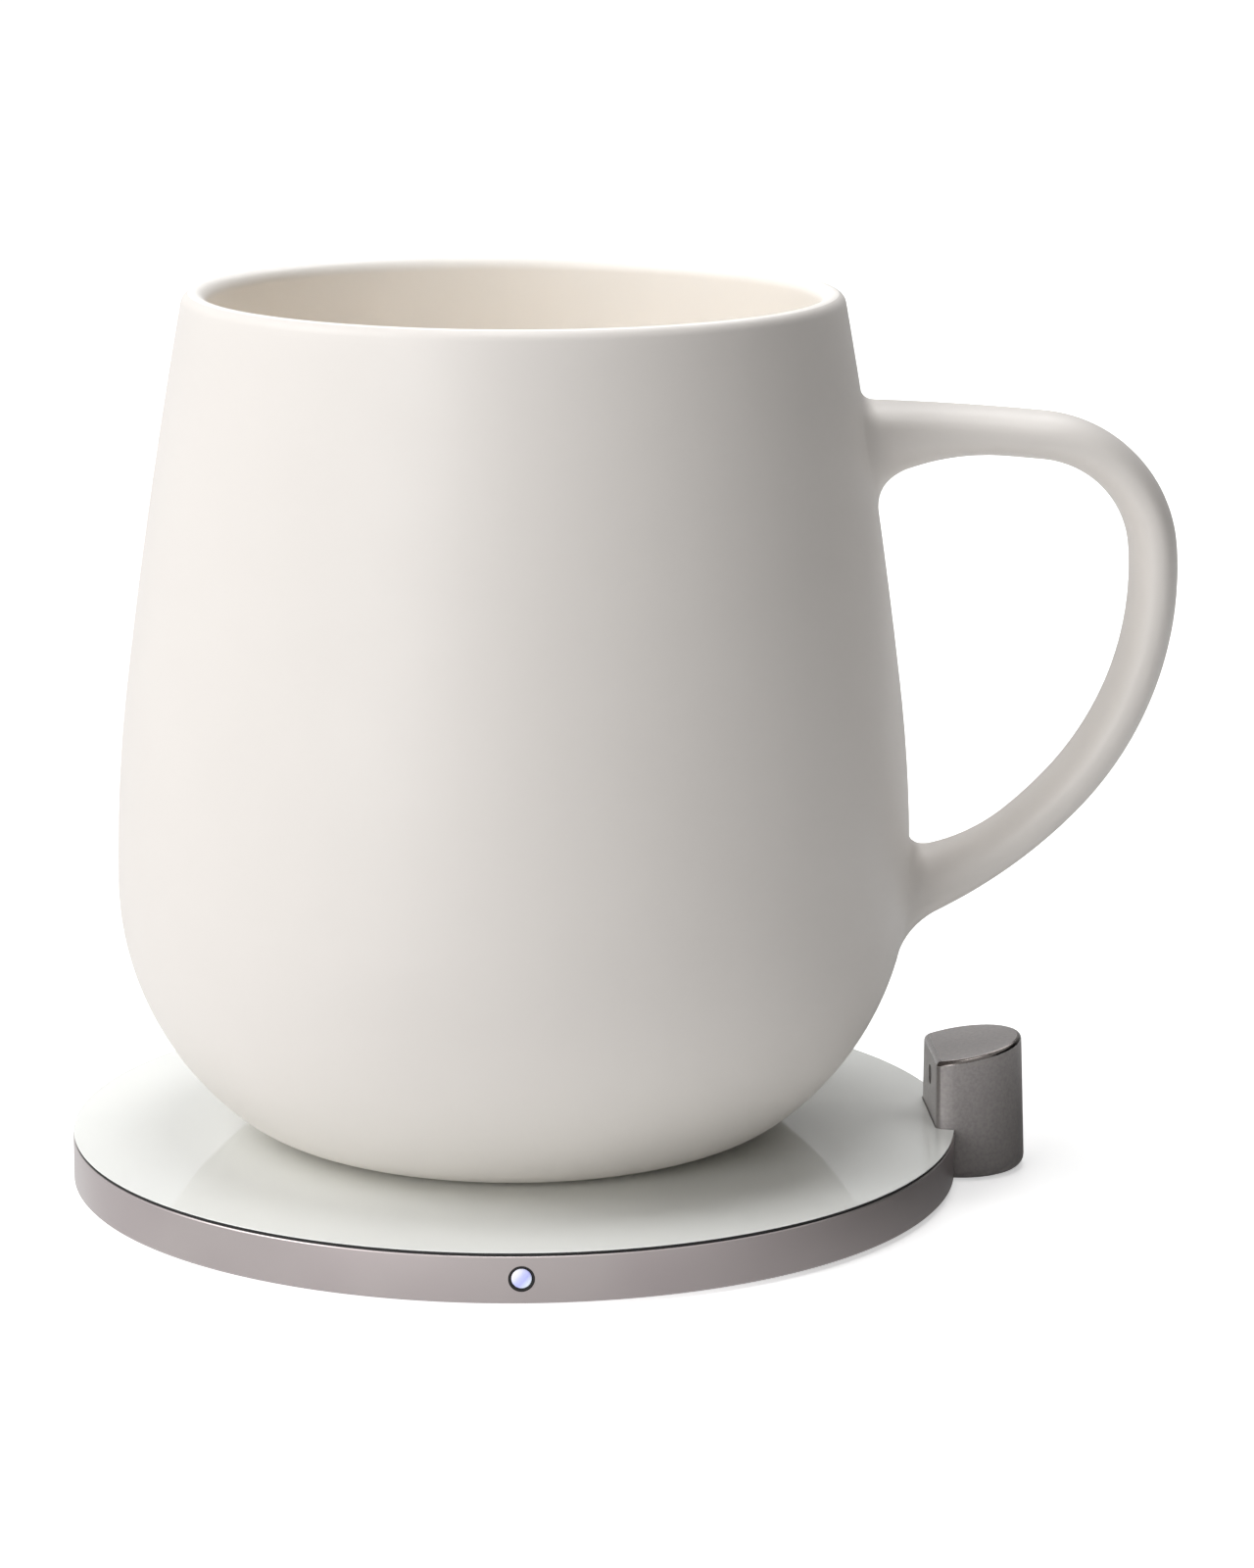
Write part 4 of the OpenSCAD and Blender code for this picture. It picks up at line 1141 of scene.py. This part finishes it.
studio = {
    "floorSize": 8.0,
    "floorColour": "#F4F4F4",
    "glow": (0.08, 1.0),     # of the floor: low in a painted shadow where the mug's shade falls, full away from it
    "shadeGlow": 0.5,        # what the camera sees there
    # middle of the painted shadow, and the distances over which the glow rises from it to full, in m
    "paintedShadowMiddle": (0.075, 0.0, 0.0),
    "paintedShadowReach": (0.005, 0.115),
    "lampSize": 0.7,
    "lampAway": 1.2,
    "lampAim": (0, 0, 0.05),
    "lamps": {               # turn about the pad, height in degrees, power
        "sideLamp": (180, 42, 3.3),
        "keyLamp": (205, 42, 4.1),
        "lowLamp": (235, 12, 5.0),
        "backLamp": (75, 43, 4.3),
        "topLamp": (0, 90, 7.1),
    },
    "worldLight": 0.01,
    "shadeRadius": 0.85,     # grey card round the right side, off camera
    "shadeHeight": 0.7,
    "shadeTurn": (-35.0, 90.0),
    "shadeSteps": 32,
    "shadeColours": ((0.45, "#1E1E1E"), (1.0, "#F4F4F4")),   # from its side to its back
    "shadeMirrored": 0.62,   # how bright glass and metal see it
    "bounces": 10,           # light goes round inside the pale mug
}


def clearedTree(owner):
    owner.use_nodes = True
    owner.node_tree.nodes.clear()
    return owner.node_tree


def whiteToCamera(tree, lit, white, output="ShaderNodeOutputMaterial"):
    # what the camera, glossy and clear rays meet is white, the rest of the light comes from lit
    path = addNode(tree, "ShaderNodeLightPath").outputs
    seen = mathOf(tree, "MAXIMUM", path["Is Camera Ray"], path["Is Glossy Ray"])
    either = mathOf(tree, "MAXIMUM", seen, path["Is Transmission Ray"])
    mix = addNode(tree, "ShaderNodeMixShader", {"Fac": either, 1: lit.outputs[0], 2: white.outputs[0]})
    addNode(tree, output, {"Surface": mix.outputs[0]})


def makeWorld():
    world = bpy.data.worlds.new("studioWorld")
    bpy.context.scene.world = world
    tree = clearedTree(world)
    lit, white = (addNode(tree, "ShaderNodeBackground", {"Color": colourOf("#FFFFFF"), "Strength": strength})
                  for strength in (studio["worldLight"], 1.0))
    whiteToCamera(tree, lit, white, "ShaderNodeOutputWorld")


def makeFloor():
    size = studio["floorSize"] / 2
    mesh = bpy.data.meshes.new("floor")
    corners = [(-size, -size, 0), (size, -size, 0), (size, size, 0), (-size, size, 0)]
    mesh.from_pydata(corners, [], [(0, 1, 2, 3)])
    floor = loose("floor", mesh)
    finish = bpy.data.materials.new("floorPaint")
    tree = clearedTree(finish)
    away = addNode(tree, "ShaderNodeVectorMath", {
        0: ownPlace(tree), 1: studio["paintedShadowMiddle"]}, operation="DISTANCE")
    (near, far), (first, last) = studio["glow"], studio["paintedShadowReach"]
    fade = addNode(tree, "ShaderNodeMapRange", {
        "Value": away.outputs["Value"], "From Min": first, "From Max": last, "To Min": near, "To Max": far},
        interpolation_type="SMOOTHSTEP")
    # the camera sees the lit floor and its glow, metal and glass only the glow; the glow's dip by the pad's
    # right side is a painted shadow
    toCamera = addNode(tree, "ShaderNodeLightPath").outputs["Is Camera Ray"]
    least = mathOf(tree, "MULTIPLY", toCamera, studio["shadeGlow"])
    matte = addNode(tree, "ShaderNodeBsdfDiffuse", {"Color": colourOf(studio["floorColour"])})
    glow = addNode(tree, "ShaderNodeEmission", {
        "Color": colourOf("#FFFFFF"), "Strength": mathOf(tree, "MAXIMUM", fade.outputs[0], least)})
    both = addNode(tree, "ShaderNodeAddShader", {0: matte.outputs[0], 1: glow.outputs[0]})
    seen = addNode(tree, "ShaderNodeMixShader", {"Fac": toCamera, 1: glow.outputs[0], 2: both.outputs[0]})
    whiteToCamera(tree, matte, seen)
    mesh.materials.append(finish)


def makeShade():
    # a standing grey card that keeps the light off the right side, as a studio flag does
    r, high = studio["shadeRadius"], studio["shadeHeight"]
    line = arcPoints((0, 0), r, *studio["shadeTurn"], studio["shadeSteps"])
    points = [(x, y, z) for z in (0.0, high) for x, y in line]
    count = len(line)
    faces = [(i, i + 1, i + 1 + count, i + count) for i in range(count - 1)]
    mesh = bpy.data.meshes.new("shadeCard")
    mesh.from_pydata(points, [], faces)
    card = loose("shadeCard", mesh)
    card.visible_camera = False
    finish = bpy.data.materials.new("shadePaint")
    tree = clearedTree(finish)
    apart = addNode(tree, "ShaderNodeSeparateXYZ", {"Vector": ownPlace(tree)})
    back = mathOf(tree, "MULTIPLY", apart.outputs["Y"], 1 / r)
    grey = rampOf(tree, back, *studio["shadeColours"])
    matte = addNode(tree, "ShaderNodeBsdfDiffuse", {"Color": grey})
    glow = addNode(tree, "ShaderNodeEmission", {"Color": grey, "Strength": studio["shadeMirrored"]})
    whiteToCamera(tree, matte, glow)
    mesh.materials.append(finish)


def makeLamp(name, turn, up, power):
    lamp = bpy.data.lights.new(name, "AREA")
    lamp.shape = "DISK"
    lamp.size = studio["lampSize"]
    lamp.energy = power
    piece = loose(name, lamp)
    turn, up = math.radians(turn), math.radians(up)
    out = Vector((math.cos(up) * math.cos(turn), math.cos(up) * math.sin(turn), math.sin(up)))
    piece.location = out * studio["lampAway"] + Vector(studio["lampAim"])
    piece.rotation_euler = out.to_track_quat("Z", "Y").to_euler()


camera = {
    "turn": -2.12,           # degrees about the pad's middle
    "place": (0.01262, -0.53667, 0.16265),
    "down": 12.37,           # degrees below level
    "roll": 0.22,
    "lens": 112.5,
    "sensor": 36.0,          # along the picture's long side
    "clip": (0.01, 20),
}


def makeCamera():
    data = bpy.data.cameras.new("photoCamera")
    data.sensor_width = camera["sensor"]
    data.lens = camera["lens"]
    data.clip_start, data.clip_end = camera["clip"]
    piece = loose("photoCamera", data)
    turn, down, roll = (math.radians(camera[key]) for key in ("turn", "down", "roll"))
    piece.matrix_world = (Matrix.Rotation(turn, 4, "Z") @ Matrix.Translation(camera["place"])
                          @ Matrix.Rotation(math.pi / 2 - down, 4, "X") @ Matrix.Rotation(roll, 4, "Z"))
    bpy.context.scene.camera = piece


makeWorld()
makeFloor()
makeShade()
for lamp, (turn, up, power) in studio["lamps"].items():
    makeLamp(lamp, turn, up, power)
makeCamera()
bpy.context.scene.view_settings.view_transform = "Standard"
bpy.context.scene.cycles.diffuse_bounces = studio["bounces"]
print("studio: lit")
